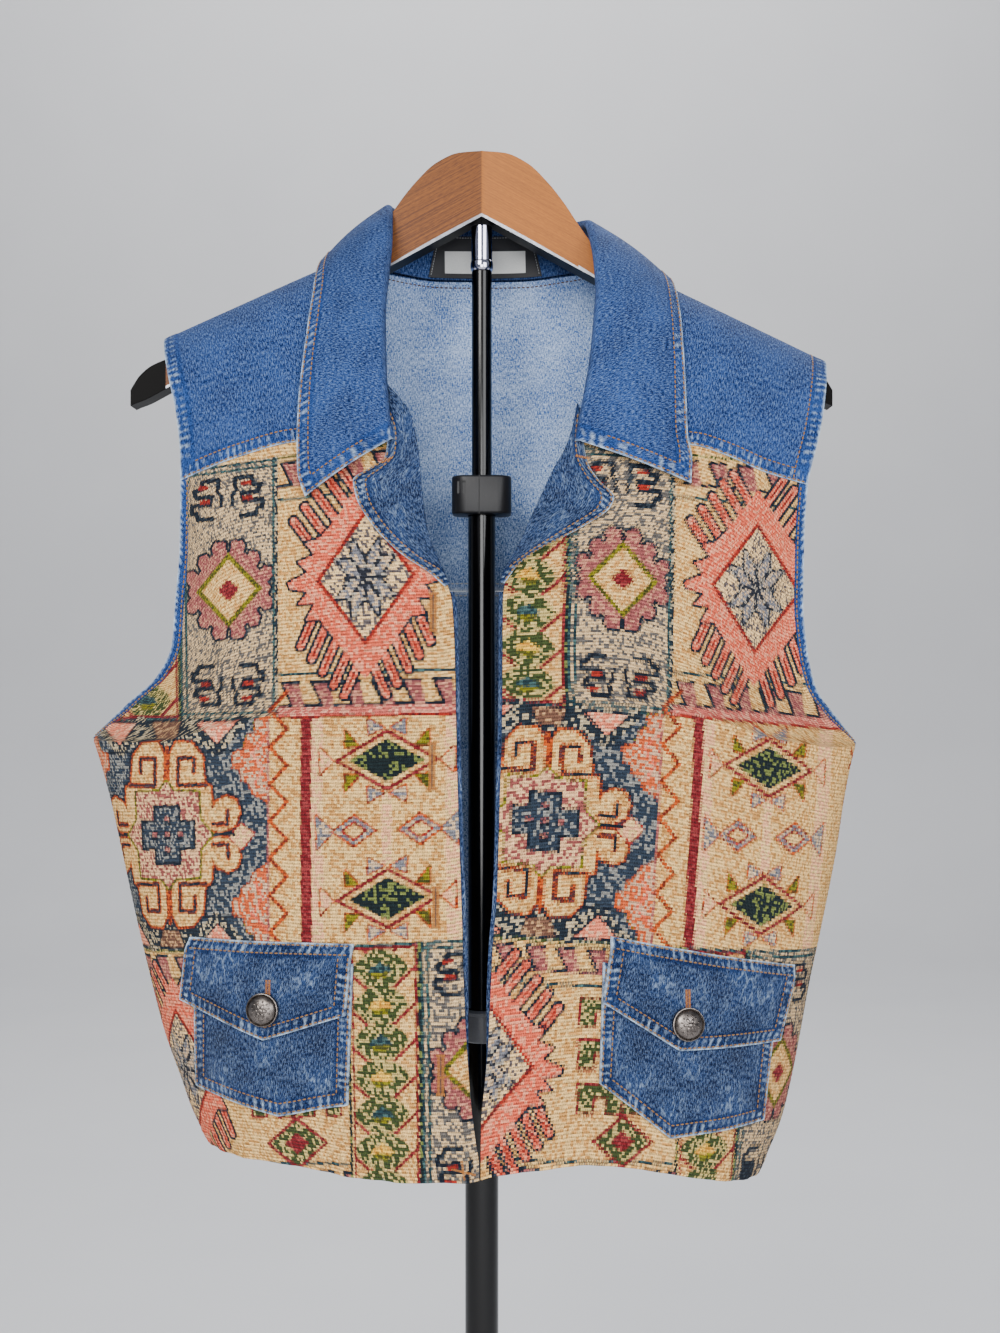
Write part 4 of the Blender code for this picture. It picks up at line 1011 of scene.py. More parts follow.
def gears(loom):
    """Upright strip with a toothed diamond between stair hooks."""
    tall = BURST_TALL
    loom.box(0, 0, 106, tall, "grey")
    middle = loom.at(54, 130)
    middle.outlined(mirrored(GEAR), 5.5, "navy", "mauve")
    middle.diamonds((72, 77, "olive"), (58, 63, "cream"))
    for half_wide, half_tall in ((10, 3), (7, 6.5), (3.5, 10)):
        middle.box(-half_wide, -half_tall, half_wide, half_tall, "burgundy")
    for y, rise in ((35, -1), (tall - 35, 1)):
        for flip in (-1, 1):
            spot = loom.at(52 + flip * 23, y)
            hook = spot.at(0, 0, flip, rise)
            hook.line(HOOK, 5, "navy")
            spot.box(-6, -2 * rise - 2, 5, -2 * rise + 2.5, "brick")
            spot.box(-8, 13 * rise - 2, 3, 13 * rise + 2.5, "brick")
            hook.line([(-17, -8), (-17, 2), (-12, 8)], 4, "navy")
    for left in (0, 5.5, 100):
        loom.box(left, 0, left + 2.8, tall, "teal")
    loom.box(103, 0, 106, tall, "night")
    for low in (1, 6.5, tall - 8, tall - 2.5):
        loom.box(0, low, 106, low + 2.8, "teal")


SPIKES = [(-34, -54), (-46, -42), (-60, -38), (-51, -26), (-68, -20), (-58, -9), (-78, 0), (-76, 6),
          (-58, 10), (-68, 22), (-51, 22), (-60, 38), (-46, 38), (-34, 54)]
STAR = [(0, -17), (13, -36), (14, -18), (28, -19), (13, 0)]
FINGERS = ((6, 92), (17, 82), (28, 68), (39, 55), (50, 42))


def sunburst(loom):
    """Wide block: a fringed diamond with a star, beside a branching plant."""
    wide, tall = BURST_WIDE, BURST_TALL
    loom.box(0, 0, wide, tall, "cream")
    for top, line in ((6, 42), (tall - 37, tall - 46)):
        loom.box(0, line, wide, line + 3, "teal")
        loom.box(0, top, wide, top + 26, "mauve")
        for k in range(-1, 10):
            step = loom.at(2 + k * 30.5, top)
            step.polygon([(19, 0), (31, 0), (43, 25), (25, 25)], "cream")
            step.line([(20, 1), (1, 1), (12, 24), (-6, 24)], 3.2, "navy")
    for low, high, colour in ((0, 3, "green"), (tall - 11, tall - 3, "dusty"), (tall - 3, tall, "brick")):
        loom.box(0, low, wide, high, colour)
    burst = loom.at(88, 127)
    for half in burst.sides():
        for x, y in FINGERS:
            finger(half, x, y - 12, 15, 34)
            finger(half, x, 12 - y, 22, -31)
    for half in burst.sides():
        half.line(SPIKES, 5, "navy")
    burst.polygon(SPIKES + [(0, 98)] + [(-x, y) for x, y in reversed(SPIKES)] + [(0, -98)], "coral")
    burst.diamonds((100, 132, "brick"), (90, 120, "pale"))
    burst.outlined(mirrored(STAR), 6, "ink", "silver")
    for quarter in burst.corners():
        for x, y in ((14, 18), (0, 22), (20, 0)):
            quarter.line([(0, 0), (x, y)], 4.5, "ink")
    plant(loom.at(228, 132))


def finger(loom, x, y, run, rise):
    for start, end, width, colour in ((0, 1, 13, "navy"), (0, 1, 7, "coral"), (0.35, 0.9, 2.2, "brick")):
        loom.line([(x + run * share, y + rise * share) for share in (start, end)], width, colour)


def plant(loom):
    """Branching plant with square hooks, on a diamond root."""
    branch = [(0, 14), (18, 14), (18, -2), (32, -2), (32, 14), (46, 14), (46, -14), (8, -14), (0, -4)]
    for level in (-62, -20, 24):
        for half in loom.at(0, level).sides():
            half.outlined(branch, 4.5, "burgundy", "green")
    loom.at(0, 66).diamonds((66, 56, "burgundy"), (56, 46, "green"), (26, 22, "burgundy"))
    loom.at(0, -84).diamonds((30, 26, "burgundy"), (20, 17, "green"))


ARCH = [(0, -44), (4, -48), (4, -80), (11, -92), (29, -91), (41, -78), (44, -50), (51, -47), (53, -30),
        (52, 0)]
OLIVE = [(0, -53), (9, -43), (38, -42), (39, -15), (53, 0)]
COIL = [(53, -24), (58, -32), (70, -37), (80, -33), (84, -22), (80, -10), (70, -4), (56, -3), (50, -8)]
STEPS = [(115, -115), (100, -113), (100, -100), (92, -98), (88, -84), (76, -80), (76, -66), (84, -64),
         (86, -54), (94, -50), (98, -40), (106, -36), (115, -30)]
SPIRALS = ([(46, -49), (14, -49), (14, -76), (32, -76), (32, -62)], [(54, -10), (71, -10), (71, -23)])


def medallion(loom):
    """Wide block: a lobed medallion with spirals on a dark ground."""
    loom.box(0, 0, 313, MEDALLION_TALL, "slate")
    middle = loom.at(155, 114)
    low, high = -114, MEDALLION_TALL - 114
    for half in middle.ends():
        half.polygon([(-80, -115), (80, -115), (58, -88), (-58, -88)], "night")
        half.outlined([(-17, -113), (17, -113), (11, -96), (-11, -96)], 4, "navy", "brown")
    for quarter in middle.corners():
        quarter.line([(30, -113), (57, -84), (86, -113)], 13, "night")
        quarter.outlined([(36, -112), (80, -112), (58, -90)], 4.5, "navy", "pink")
        quarter.line([(40, -82), (92, -82)], 3, "navy")
        quarter.line(STEPS[:5], 4, "olive")
        quarter.outlined(STEPS, 3, "rust", "mottle")
        quarter.line([(112, -96), (96, -80), (108, -64), (100, -50)], 3, "coral")
    for half in middle.sides():
        half.box(114, low, 155, high, "cream")
        half.box(112.5, low, 115, high, "mauve")
        for k in range(-1, 7):
            top = low + 10 + k * 37
            half.line([(133, top), (115, top + 18.5), (133, top + 37)], 4.2, "rust")
    body = mirrored(ARCH)
    for width, colour in ((9, "navy"), (4.5, "rust")):
        middle.line(body + body[:1], width, colour)
        for quarter in middle.corners():
            quarter.line(COIL, width, colour)
    for quarter in middle.corners():
        quarter.polygon(COIL, "cream")
    middle.polygon(body, "cream")
    for quarter in middle.corners():
        for width, colour in ((5.5, "rust"), (2.6, "navy")):
            for spiral in SPIRALS:
                quarter.line(spiral, width, colour)
    for half in middle.sides():
        half.outlined([(86, -10), (99, 1), (86, 15), (73, 3)], 3.5, "brick", "blush")
        half.line([(53, 0), (78, 0)], 3.6, "navy")
    for half in middle.ends():
        half.line([(0, -88), (0, -53)], 4.5, "rust")
    middle.outlined(mirrored(OLIVE), 5, "olive", "check")
    for grow, colour in ((3, "navy"), (0, "slate")):
        for wide, tall in ((14 + grow, 27 + grow), (31 + grow, 12 + grow)):
            middle.box(-wide, -tall, wide, tall, colour)
    for x, y in ((0, 0), (16, 0), (-16, 0), (0, 15), (0, -15)):
        middle.box(x - 4, y - 4, x + 4, y + 5, "navy")
        middle.box(x - 3, y - 3, x + 3, y + 1, "mauve")
    loom.box(302, 0, 314, MEDALLION_TALL, "burgundy")


def spiked_diamonds(loom):
    """Upright block: two spiked diamonds with small fish shapes between them."""
    for left, right, colour in ((1, 180, "cream"), (0, 12, "blush"), (134, 152, "blush")):
        loom.box(left, 0, right, MEDALLION_TALL, colour)
    loom.box(71, 78, 81, 150, "blush")
    for y in (44, 185):
        middle = loom.at(76, y)
        for quarter in middle.corners():
            quarter.outlined([(42, -31), (42, -14), (28, -15)], 3, "rust", "olive")
            quarter.outlined([(19, -42), (19, -26), (3, -33)], 3.4, "rust", "silver")
        for half in middle.sides():
            half.outlined([(67, -13), (67, 13), (54, 0)], 3.6, "rust", "blush")
        middle.diamonds((108, 64, "burgundy"), (94, 54, "cream"), (78, 44, "dark"))
    for half in loom.at(76, 115).sides():
        fish = half.at(33, 0)
        fish.outlined([(38, -17), (20, 0), (37, 17)], 3, "rust", "silver")
        fish.diamonds((48, 36, "rust"), (41, 29, "silver"), (29, 21, "brick"), (22, 14, "cream"))


def woven_tapestry():
    """Heavy weft-faced cloth: coloured threads over stout ribs."""
    finish = Finish("tapestry", Roughness=0.95, Specular_IOR_Level=0.1, Sheen_Weight=0.04)
    across, up = finish.split(finish.cloth())
    ribs = finish.wave(across * (2 * math.pi / RIB_PITCH))
    picks = finish.wave(up * (2 * math.pi / PICK_PITCH) + ribs * 0.9)
    fibre = finish.noise((520.0, 1150.0), 2.0, 0.6)
    weft = finish.attribute("weft", "Color")
    # Random fibre tone, plus painted shade in the troughs of the ribs and picks and painted highlight on
    # their crests.
    fibre_tone_and_painted_light = finish.clamp(fibre * 1.7 + ribs * 0.12 + picks * 0.22 - 0.28)
    # Darkened copy of the weft colour: painted shade.
    dark = finish.mix(1.0, weft, (0.36, 0.28, 0.26), "MULTIPLY")
    # Lightened copy of the weft colour: painted highlight.
    pale = finish.mix(1.0, weft, (1.46, 1.34, 1.14), "MULTIPLY")
    finish.colour(fibre_tone_and_painted_light, dark, pale)
    finish.relief(ribs * 0.4 + picks * 0.5 + fibre * 1.1, 0.0008, 0.9)
    return finish.material


def plain_finish(name, colour, speckle, scale, bump=0.0002, **constants):
    """Moulded, painted or metal surface with fine uneven colour and a fine texture."""
    finish = Finish(name, **constants)
    grain = finish.noise(scale, 3.0)
    finish.colour(grain, linear(*colour), linear(*speckle))
    finish.relief(grain, bump, 0.4)
    return finish.material


def varnished_wood(name, colour, streak, shine=0.25):
    """Fine straight grain, darker on the side away from the light and towards the mitred middle."""
    finish = Finish(name, Roughness=0.42, Specular_IOR_Level=shine)
    grain = finish.noise((12.0, 900.0), 4.0, 0.62)
    fleck = finish.noise((260.0, 1500.0), 1.0)
    across = finish.split(finish.place())[0]
    # The half at negative X is painted darker: painted shade on the side away from the light, not age.
    left_half_painted_shade = finish.clamp(0.5 - across * 900.0) * 0.52
    finish.colour(finish.clamp(grain * 1.1 + fleck * 0.5 - left_half_painted_shade - 0.1), linear(*streak), linear(*colour))
    finish.relief(grain, 0.0002, 0.2)
    return finish.material


def gunmetal():
    finish = Finish("gunmetal", Metallic=1.0, Roughness=0.36)
    stain = finish.noise(420.0, 3.0, 0.6)
    finish.colour(finish.clamp(stain * 1.6 - 0.3), linear(58, 52, 50), linear(150, 142, 136))
    finish.relief(stain, 0.0002, 0.5)
    return finish.material


def label_cloth():
    """Dark border round a bare pale field."""
    finish = Finish("label cloth", Roughness=0.6, Sheen_Weight=0.1)
    across, up = finish.split(finish.cloth())
    side = finish.wave(across, "ABSOLUTE")
    border = finish.clamp((side - 0.0275) * 4000.0) + finish.clamp((0.0032 - up) * 4000.0)
    border = finish.clamp(border + finish.clamp((up - 0.0185) * 4000.0))
    weave = finish.noise((2200.0, 900.0), 1.0)
    white = finish.mix(weave, linear(196, 198, 196), linear(228, 228, 224))
    finish.colour(border, white, linear(30, 30, 34))
    finish.relief(weave, 0.0002, 0.4)
    return finish.material


def make_finishes(colours):
    """Every finish of the piece, by name."""
    faded = colours.denim_faded
    FINISHES.update({
        "denim": denim("denim", colours.denim_deep, colours.denim_plain, faded),
        "pocket_denim": denim("pocket denim", colours.pocket_deep, colours.pocket_plain, faded, creased=1.0),
        "denim_reverse": denim("denim reverse", colours.reverse_deep, colours.reverse_plain,
                               linear(205, 215, 228), reverse=True),
        "tapestry": woven_tapestry(),
        "tapestry_reverse": plain_finish("tapestry reverse", (150, 125, 95), (70, 62, 60), 700.0,
                                         Roughness=0.95),
        "copper_thread": thread("copper thread", colours.thread, linear(96, 54, 22)),
        "gold_thread": thread("gold thread", colours.gold_thread, linear(130, 70, 4)),
        "pale_thread": thread("pale thread", linear(205, 205, 200), linear(150, 155, 165)),
        "brown_thread": thread("brown thread", linear(96, 62, 40), linear(60, 38, 26)),
        "label": label_cloth(),
        "wood": varnished_wood("varnished wood", (170, 98, 20), (80, 40, 6)),
        "dark_wood": varnished_wood("dark wood", (4, 2, 2), (2, 1, 1), 0.06),
        "steel": plain_finish("hanger strip", (170, 172, 178), (120, 122, 128), 300.0, Roughness=0.3,
                              Metallic=1.0),
        "gunmetal": gunmetal(),
        "chrome": plain_finish("chrome", (205, 205, 215), (180, 180, 200), 60.0, 0.00002, Roughness=0.1,
                               Metallic=1.0),
        "black_tube": plain_finish("black tube", (2, 2, 3), (3, 3, 4), 200.0, 0.00004, Roughness=0.14,
                                   Specular_IOR_Level=0.35),
        "black_plastic": plain_finish("black plastic", (14, 14, 16), (24, 24, 27), 900.0, 0.0001,
                                      Roughness=0.42, Specular_IOR_Level=0.3),
        "grey_plastic": plain_finish("grey plastic", (86, 88, 92), (104, 106, 110), 900.0, 0.0001,
                                     Roughness=0.45),
        "black_base": plain_finish("black base", (20, 20, 22), (30, 30, 33), 600.0, Roughness=0.5),
    })


# Pieces

def sided(name, side):
    return f"{name}_{SIDE_NAMES[side]}"


def cloth_piece(node, sheet, outer, inner, edges, reach=SEAM_REACH):
    """Denim piece that replaces its CAD wall, which is hidden."""
    name = "denim_back" if node == "back_body" else f"denim_{node}"
    # Worn edges of the denim, plus painted highlight and shade over the seam puckers.
    layers = {"wear_and_relief_shading": wear_and_relief_shading_of(sheet, edges, reach)}
    made = sheet.build(name, [FINISHES[outer], FINISHES[inner], FINISHES[outer]], layers)
    hung_sheet(node)


def hung_sheet(node):
    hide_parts(node)


def sew(sheet, lines, colour="copper", face="outer"):
    """Rows of stitches, each given by an edge, an inset and the trims of its ends."""
    for edge, inset, start, end in lines:
        THREADS[colour].row(sheet.row(edge, inset, (start, end), face), STITCH_PITCH, STITCH_THICK)


def twin_rows(near, far, start):
    """Two rows along the free edge and both sides, which start at a distance from the attached edge."""
    return [("top", near, near, near), ("top", far, far, far)] + [
        (edge, inset, start, inset) for edge in ("first", "last") for inset in (near, far)]


class VestOperator:
    bl_options = {"REGISTER", "UNDO"}


class VEST_OT_front_panels(VestOperator, Operator):
    """Both tapestry fronts, from the hem to the yoke seam"""
    bl_idname = "vest.front_panels"
    bl_label = "Tapestry fronts"

    def execute(self, context):
        wall = context.scene.vest_cloth.wall
        for side in (RIGHT, LEFT):
            middle = underarm_share(side, FRONT, panel_top)
            place = panel_place(FRONT, outer_boundary(side, FRONT, band=True), inner_boundary(side),
                                HEM_HEIGHT[FRONT], panel_top, wall,
                                lambda v, middle=middle: stretch(v, PANEL_BREAK, middle), hold=PANEL_HOLD)
            sheet = Sheet(place, *GRIDS["panel"], tapestry_relief)
            made = sheet.build(sided("tapestry_front", side),
                               [FINISHES["tapestry"], FINISHES["tapestry_reverse"], FINISHES["tapestry"]])
            paint_weft(made, sheet, side)
            hung_sheet(sided("front_panel", side))
        return {"FINISHED"}


def stretch(share, middle_share, middle_value):
    """Share of the height, with the row at middle_share kept for middle_value."""
    return np.where(share < middle_share, share / middle_share * middle_value,
                    lerp(middle_value, 1.0, (share - middle_share) / (1 - middle_share)))


def tapestry_relief(sheet):
    """Hem and front edge turned under, and the ripples that the yoke seam draws up."""
    bottom, front = sheet.from_edge("bottom"), sheet.from_edge("last")
    turned_under = np.maximum(ease((0.012 - bottom) / 0.002), ease((0.01 - front) / 0.002))
    rolled = np.exp(-(front / 0.0014) ** 2) + np.exp(-(bottom / 0.0014) ** 2)
    ripples = 0.0005 * np.sin(2 * math.pi * sheet.s / 0.021 + 2 * np.sin(40 * sheet.s))
    near_hem = ease((0.03 - bottom) / 0.025)
    rough = 0.00012 * np.sin(2 * math.pi * sheet.t / 0.0044 + np.sin(900 * sheet.s))
    return 0.0005 * turned_under + ripples * near_hem - 0.0006 * np.clip(rolled, 0, 1) + rough


class VEST_OT_armhole_bands(VestOperator, Operator):
    """Denim strip that binds each front armhole"""
    bl_idname = "vest.armhole_bands"
    bl_label = "Armhole bands"

    def execute(self, context):
        wall = context.scene.vest_cloth.wall
        for side in (RIGHT, LEFT):
            def inside(z, side=side):
                return angle_at(side * (armhole_x(side, z, FRONT) - band_width(side, z) + BAND_GAP), z)

            middle = underarm_share(side, FRONT, panel_top)
            place = panel_place(FRONT, outer_boundary(side, FRONT), inside, HEM_HEIGHT[FRONT], panel_top,
                                wall, lambda v, middle=middle: lerp(middle, 1.0, v))
            sheet = Sheet(place, *GRIDS["band"], seam_relief(["first"], NARROW_REACH, 0.00004, 0.0001))
            cloth_piece(sided("armhole_band", side), sheet, "denim", "denim", ["first"],
                        reach=NARROW_REACH)
            sew(sheet, [("last", 0.0012, 0.004, 0.001)])
        return {"FINISHED"}


class VEST_OT_front_yokes(VestOperator, Operator):
    """Denim front yokes, with topstitching along the yoke seam and the armhole"""
    bl_idname = "vest.front_yokes"
    bl_label = "Front yokes"

    def execute(self, context):
        wall = context.scene.vest_cloth.wall
        for side in (RIGHT, LEFT):
            place = panel_place(FRONT, outer_boundary(side, FRONT), inner_boundary(side),
                                lambda x: YOKE_HEIGHT(x) + SEAM_GAP / 2, ridge, wall, yoke_rows)
            edges = ["bottom", "first"]
            sheet = Sheet(place, *GRIDS["front_yoke"], seam_relief(edges))
            cloth_piece(sided("front_yoke", side), sheet, "denim", "denim_reverse", edges)
            lines = [("bottom", 0.0012, 0.002, 0.002), ("bottom", 0.0082, 0.01, 0.002)]
            sew(sheet, lines + [("first", 0.01, 0.001, 0.001)] * (side == LEFT))
        return {"FINISHED"}


class VEST_OT_back(VestOperator, Operator):
    """Denim back in two walls, which meet at a level seam"""
    bl_idname = "vest.back"
    bl_label = "Back"

    def execute(self, context):
        wall = context.scene.vest_cloth.wall
        first, last = outer_boundary(LEFT, BACK), outer_boundary(RIGHT, BACK)

        def top(x):
            return np.where(np.abs(x) < BACK_NECK[-1][0], np.minimum(ridge(x), BACK_NECK_HEIGHT(x)), ridge(x))

        def seam(lift):
            return lambda x: BACK_SEAM + lift + 0 * x

        middle = underarm_share(RIGHT, BACK, seam(-SEAM_GAP / 2))
        body = Sheet(panel_place(BACK, first, last, HEM_HEIGHT[BACK], seam(-SEAM_GAP / 2), wall,
                                 lambda v: stretch(v, BACK_BREAK, middle)),
                     *GRIDS["back"], seam_relief(["top", "bottom"]))
        yoke = Sheet(panel_place(BACK, first, last, seam(SEAM_GAP / 2), top, wall, yoke_rows),
                     *GRIDS["back_yoke"], seam_relief(["bottom", "first", "last"]))
        cloth_piece("back_body", body, "denim", "denim_reverse", ["top", "bottom"])
        cloth_piece("back_yoke", yoke, "denim", "denim_reverse", ["bottom", "first", "last"])
        sew(yoke, [("bottom", 0.0012, 0.002, 0.002), ("bottom", 0.0082, 0.01, 0.01),
                   ("first", 0.01, 0.001, 0.001), ("last", 0.01, 0.001, 0.001)])
        sew(body, [("bottom", 0.01, 0.002, 0.002)])
        sew(yoke, [("bottom", 0.005, 0.002, 0.002)], "pale", "inner")
        sew(body, [("top", 0.003, 0.002, 0.002)], "pale", "inner")
        sew(yoke, [("top", 0.004, 0.15, 0.15)], "brown", "inner")
        return {"FINISHED"}


class VEST_OT_facings(VestOperator, Operator):
    """Denim strip inside each front edge, which peeks past it in the opening"""
    bl_idname = "vest.facings"
    bl_label = "Front facings"

    def execute(self, context):
        wall = context.scene.vest_cloth.wall
        for side in (RIGHT, LEFT):
            def inner(z, side=side):
                return angle_at(side * (INNER[side](z) - FACING_PEEK * ease((z - 0.6) / 0.06)), z)

            def outer(z, side=side):
                return angle_at(side * (INNER[side](z) + FACING_WIDTH), z)

            place = panel_place(FRONT, outer, inner, lambda x: HEM_HEIGHT[FRONT](x) + FACING_BOTTOM_RISE,
                                lambda x: FACING_TOP + 0 * x, FACING_WALL, lift=-wall - FACING_GAP)
            sheet = Sheet(place, *GRIDS["facing"], seam_relief(["last"], NARROW_REACH, 0.0001, 0.0))
            # The facing takes the darker pocket denim and no worn edges: painted shade for the strip that
            # lies in shadow in the opening.
            cloth_piece(sided("facing", side), sheet, "pocket_denim", "denim", [],
                        reach=NARROW_REACH)
        return {"FINISHED"}


class VEST_OT_lapels(VestOperator, Operator):
    """Denim lapels, turned back from the front edges"""
    bl_idname = "vest.lapels"
    bl_label = "Lapels"

    def execute(self, context):
        wall = context.scene.vest_cloth.wall
        for side in (RIGHT, LEFT):
            columns = {name: even_curve([getattr(row, name) for row in LAPELS[side]])
                       for name in LapelRow._fields}

            def place(u, v, depth, columns=columns, side=side):
                x = lerp(columns["roll_x"](v), columns["edge_x"](v), u)
                z = lerp(columns["roll_z"](v), columns["edge_z"](v), u)
                rise = LAPEL_ROLL_LIFT * (1 - u) * np.sin(math.pi * np.minimum(v + 0.1, 0.9))
                return on_front(side * x, z, LAPEL_LIFT + rise + wall * (1 - depth))

            sheet = Sheet(place, *GRIDS["lapel"], seam_relief(["last"], 0.007))
            cloth_piece(sided("lapel", side), sheet, "pocket_denim", "denim_reverse", ["last"])
            sew(sheet, [("last", 0.0078, 0.01, 0.004), ("last", 0.0015, 0.002, 0.03)])
        return {"FINISHED"}


def collar_rows():
    """Sections from the right front point, round the back, to the left front point."""
    def signed(half, side):
        return [row._replace(seam_x=side * row.seam_x, fold_x=side * row.fold_x, edge_x=side * row.edge_x)
                for row in half]
    return signed(COLLAR_RIGHT, RIGHT)[::-1] + [COLLAR_MIDDLE] + signed(COLLAR_LEFT, LEFT)


class CollarShape:
    """The collar's neck seam, fold and free edge, and the section between them."""

    def __init__(self, wall):
        sections = collar_rows()
        seam = [skin(row.face, angle_at(row.seam_x, row.seam_z), row.seam_z, -wall / 2) for row in sections]
        fold = [(row.fold_x, row.fold_y, row.fold_z) for row in sections]
        edge = [skin(row.face, angle_at(row.edge_x, row.edge_z), row.edge_z, COLLAR_EDGE_LIFT)
                for row in sections]
        self.lines = [[even_curve(column) for column in np.array(points, dtype=float).T]
                      for points in (seam, fold, edge)]

    def line(self, number, q):
        return np.stack([curve(q) for curve in self.lines[number]], -1)

    def section(self, q, v):
        """Middle of the collar's wall: up the stand, over the fold and down the fall."""
        seam, fold, edge = (self.line(number, q) for number in range(3))
        toward = unit(fold - (seam + edge) / 2)
        outward = unit(fold * (1, 1, 0))
        outward = unit(outward - toward * np.sum(outward * toward, -1, keepdims=True))
        centre = fold - toward * COLLAR_ROLL
        v = v[..., None]
        stand = lerp(seam, centre - outward * COLLAR_ROLL, v / STAND_SHARE)
        turn = lerp(-math.pi / 2, math.pi / 2, (v - STAND_SHARE) / ROLL_SHARE)
        roll = centre + COLLAR_ROLL * (toward * np.cos(turn) + outward * np.sin(turn))
        share = (v - STAND_SHARE - ROLL_SHARE) / (1 - STAND_SHARE - ROLL_SHARE)
        bulge = COLLAR_BULGE * np.sin(math.pi * np.clip(share, 0, 1))
        fall = lerp(centre + outward * COLLAR_ROLL, edge, share) + outward * bulge
        return np.where(v < STAND_SHARE, stand, np.where(v < STAND_SHARE + ROLL_SHARE, roll, fall))

    def point(self, q, v, offset):
        """Point of the collar moved along its normal, towards the face side."""
        step = COLLAR_PROBE
        along = self.section(np.minimum(q + step, 1), v) - self.section(np.maximum(q - step, 0), v)
        up = self.section(q, np.minimum(v + step, 1)) - self.section(q, np.maximum(v - step, 0))
        return self.section(q, v) + unit(np.cross(along, up)) * offset


def unit(vectors):
    return vectors / np.maximum(np.linalg.norm(vectors, axis=-1, keepdims=True), 1e-9)


class VEST_OT_collar(VestOperator, Operator):
    """Denim collar with two rows of topstitching"""
    bl_idname = "vest.collar"
    bl_label = "Collar"

    def execute(self, context):
        wall = context.scene.vest_cloth.wall
        shape = CollarShape(wall)
        knots = np.linspace(0, 1, len(COLLAR_STEPS))

        def place(u, v, depth):
            return shape.point(u, np.interp(v, knots, COLLAR_STEPS), wall * (0.5 - depth))

        edges = ["first", "last", "top"]
        sheet = Sheet(place, *GRIDS["collar"], seam_relief(edges, COLLAR_REACH, 0.0003))
        cloth_piece("collar", sheet, "denim", "denim", edges,
                    reach=COLLAR_REACH)
        sew(sheet, twin_rows(0.0016, COLLAR_REACH, 0.03))
        return {"FINISHED"}


class VEST_OT_neck_label(VestOperator, Operator):
    """Blank woven label on the inside of the collar stand"""
    bl_idname = "vest.neck_label"
    bl_label = "Neck label"

    def execute(self, context):
        wall = context.scene.vest_cloth.wall
        shape = CollarShape(wall)
        middle = np.linspace(0.4, 0.6, 41)
        across = shape.line(1, middle)[:, 0]

        def place(u, v, depth):
            q = np.interp(lerp(LABEL_RIGHT_X, LABEL_LEFT_X, u), across, middle)
            share = lerp(LABEL_LOW_SHARE, LABEL_HIGH_SHARE, v) * STAND_SHARE
            return shape.point(q, share, wall / 2 + LABEL_GAP + LABEL_WALL * (1 - depth))

        sheet = Sheet(place, *GRIDS["label"])
        made = sheet.build("blank_label", [FINISHES["label"]] * 3)
        hung_sheet("neck_label")
        for edge in ("first", "last", "top"):
            THREADS["pale"].row(sheet.row(edge, 0.0012, (0.0012, 0.0012)), 0.0018, 0.0004)
        return {"FINISHED"}


def patch_place(corners, side, lift_of, wall):
    """Place function of a four-sided patch whose lower edge runs down to a point."""
    low_outer, low_inner = np.array(corners.low_outer), np.array(corners.low_inner)
    top_outer, top_inner = np.array(corners.top_outer), np.array(corners.top_inner)
    tip = np.array(corners.tip)
    tip_share = (tip[0] - low_outer[0]) / (low_inner[0] - low_outer[0])
    drop = tip - lerp(low_outer, low_inner, tip_share)

    def place(u, v, depth):
        tent = np.where(u < tip_share, u / tip_share, (1 - u) / (1 - tip_share))[..., None]
        wide, tall = u[..., None], v[..., None]
        top = lerp(top_outer, top_inner, wide)
        spot = lerp(top, lerp(low_outer, low_inner, wide), tall) + drop * tent * tall
        return on_front(side * spot[..., 0], spot[..., 1], lift_of(u, v) + wall * (1 - depth))

    return place


class VEST_OT_pockets(VestOperator, Operator):
    """Patch pockets, each with a pointed flap over its top"""
    bl_idname = "vest.pockets"
    bl_label = "Pockets and flaps"

    def execute(self, context):
        wall = context.scene.vest_cloth.wall
        for side in (RIGHT, LEFT):
            pocket, panel = sided("pocket", side), sided("front_panel", side)
            edges = ["first", "last", "top"]
            place = patch_place(POCKETS[side], side, lambda u, v: POCKET_LIFT + 0 * u, POCKET_WALL)
            sheet = Sheet(place, *GRIDS["pocket"], seam_relief(edges, POCKET_REACH))
            cloth_piece(pocket, sheet, "pocket_denim", "denim_reverse", edges,
                        POCKET_REACH)
            sew(sheet, twin_rows(0.0016, 0.0078, 0.002))
            edges = ["first", "last", "top", "bottom"]
            place = patch_place(FLAPS[side], side,
                                lambda u, v: POCKET_LIFT + FLAP_LIFT * ease(v / FLAP_RISE), wall)
            sheet = Sheet(place, *GRIDS["flap"], seam_relief(edges, POCKET_REACH))
            cloth_piece(sided("pocket_flap", side), sheet, "pocket_denim", "denim_reverse", edges,
                        POCKET_REACH)
            sew(sheet, [("bottom", 0.0014, 0.0014, 0.0014), ("bottom", 0.007, 0.0014, 0.0014)])
            sew(sheet, twin_rows(0.0014, 0.0078, 0.0075))
        return {"FINISHED"}


def spun(bm, profile, sides):
    """Adds a solid of revolution round Z. The profile runs from top to bottom on its outer side."""
    verts = [bm.verts.new((radius, 0.0, z)) for radius, z in profile]
    edges = [bm.edges.new(pair) for pair in zip(verts, verts[1:])]
    if profile[0][0] > 0 and profile[-1][0] > 0:
        edges.append(bm.edges.new((verts[-1], verts[0])))
    bmesh.ops.spin(bm, geom=verts + edges, cent=(0, 0, 0), axis=(0, 0, 1), angle=2 * math.pi, steps=sides,
                   use_merge=True)


def joined(bm):
    bmesh.ops.remove_doubles(bm, verts=bm.verts[:], dist=1e-6)
    bmesh.ops.recalc_face_normals(bm, faces=bm.faces[:])


def hard_piece(made, node):
    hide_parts(node)


def turned(name, profile, sides, finish, node):
    """Turned piece that replaces its CAD solid."""
    bm = bmesh.new()
    spun(bm, profile, sides)
    joined(bm)
    hard_piece(finished(name, baked(name, bm), [FINISHES[finish]], 40), node)


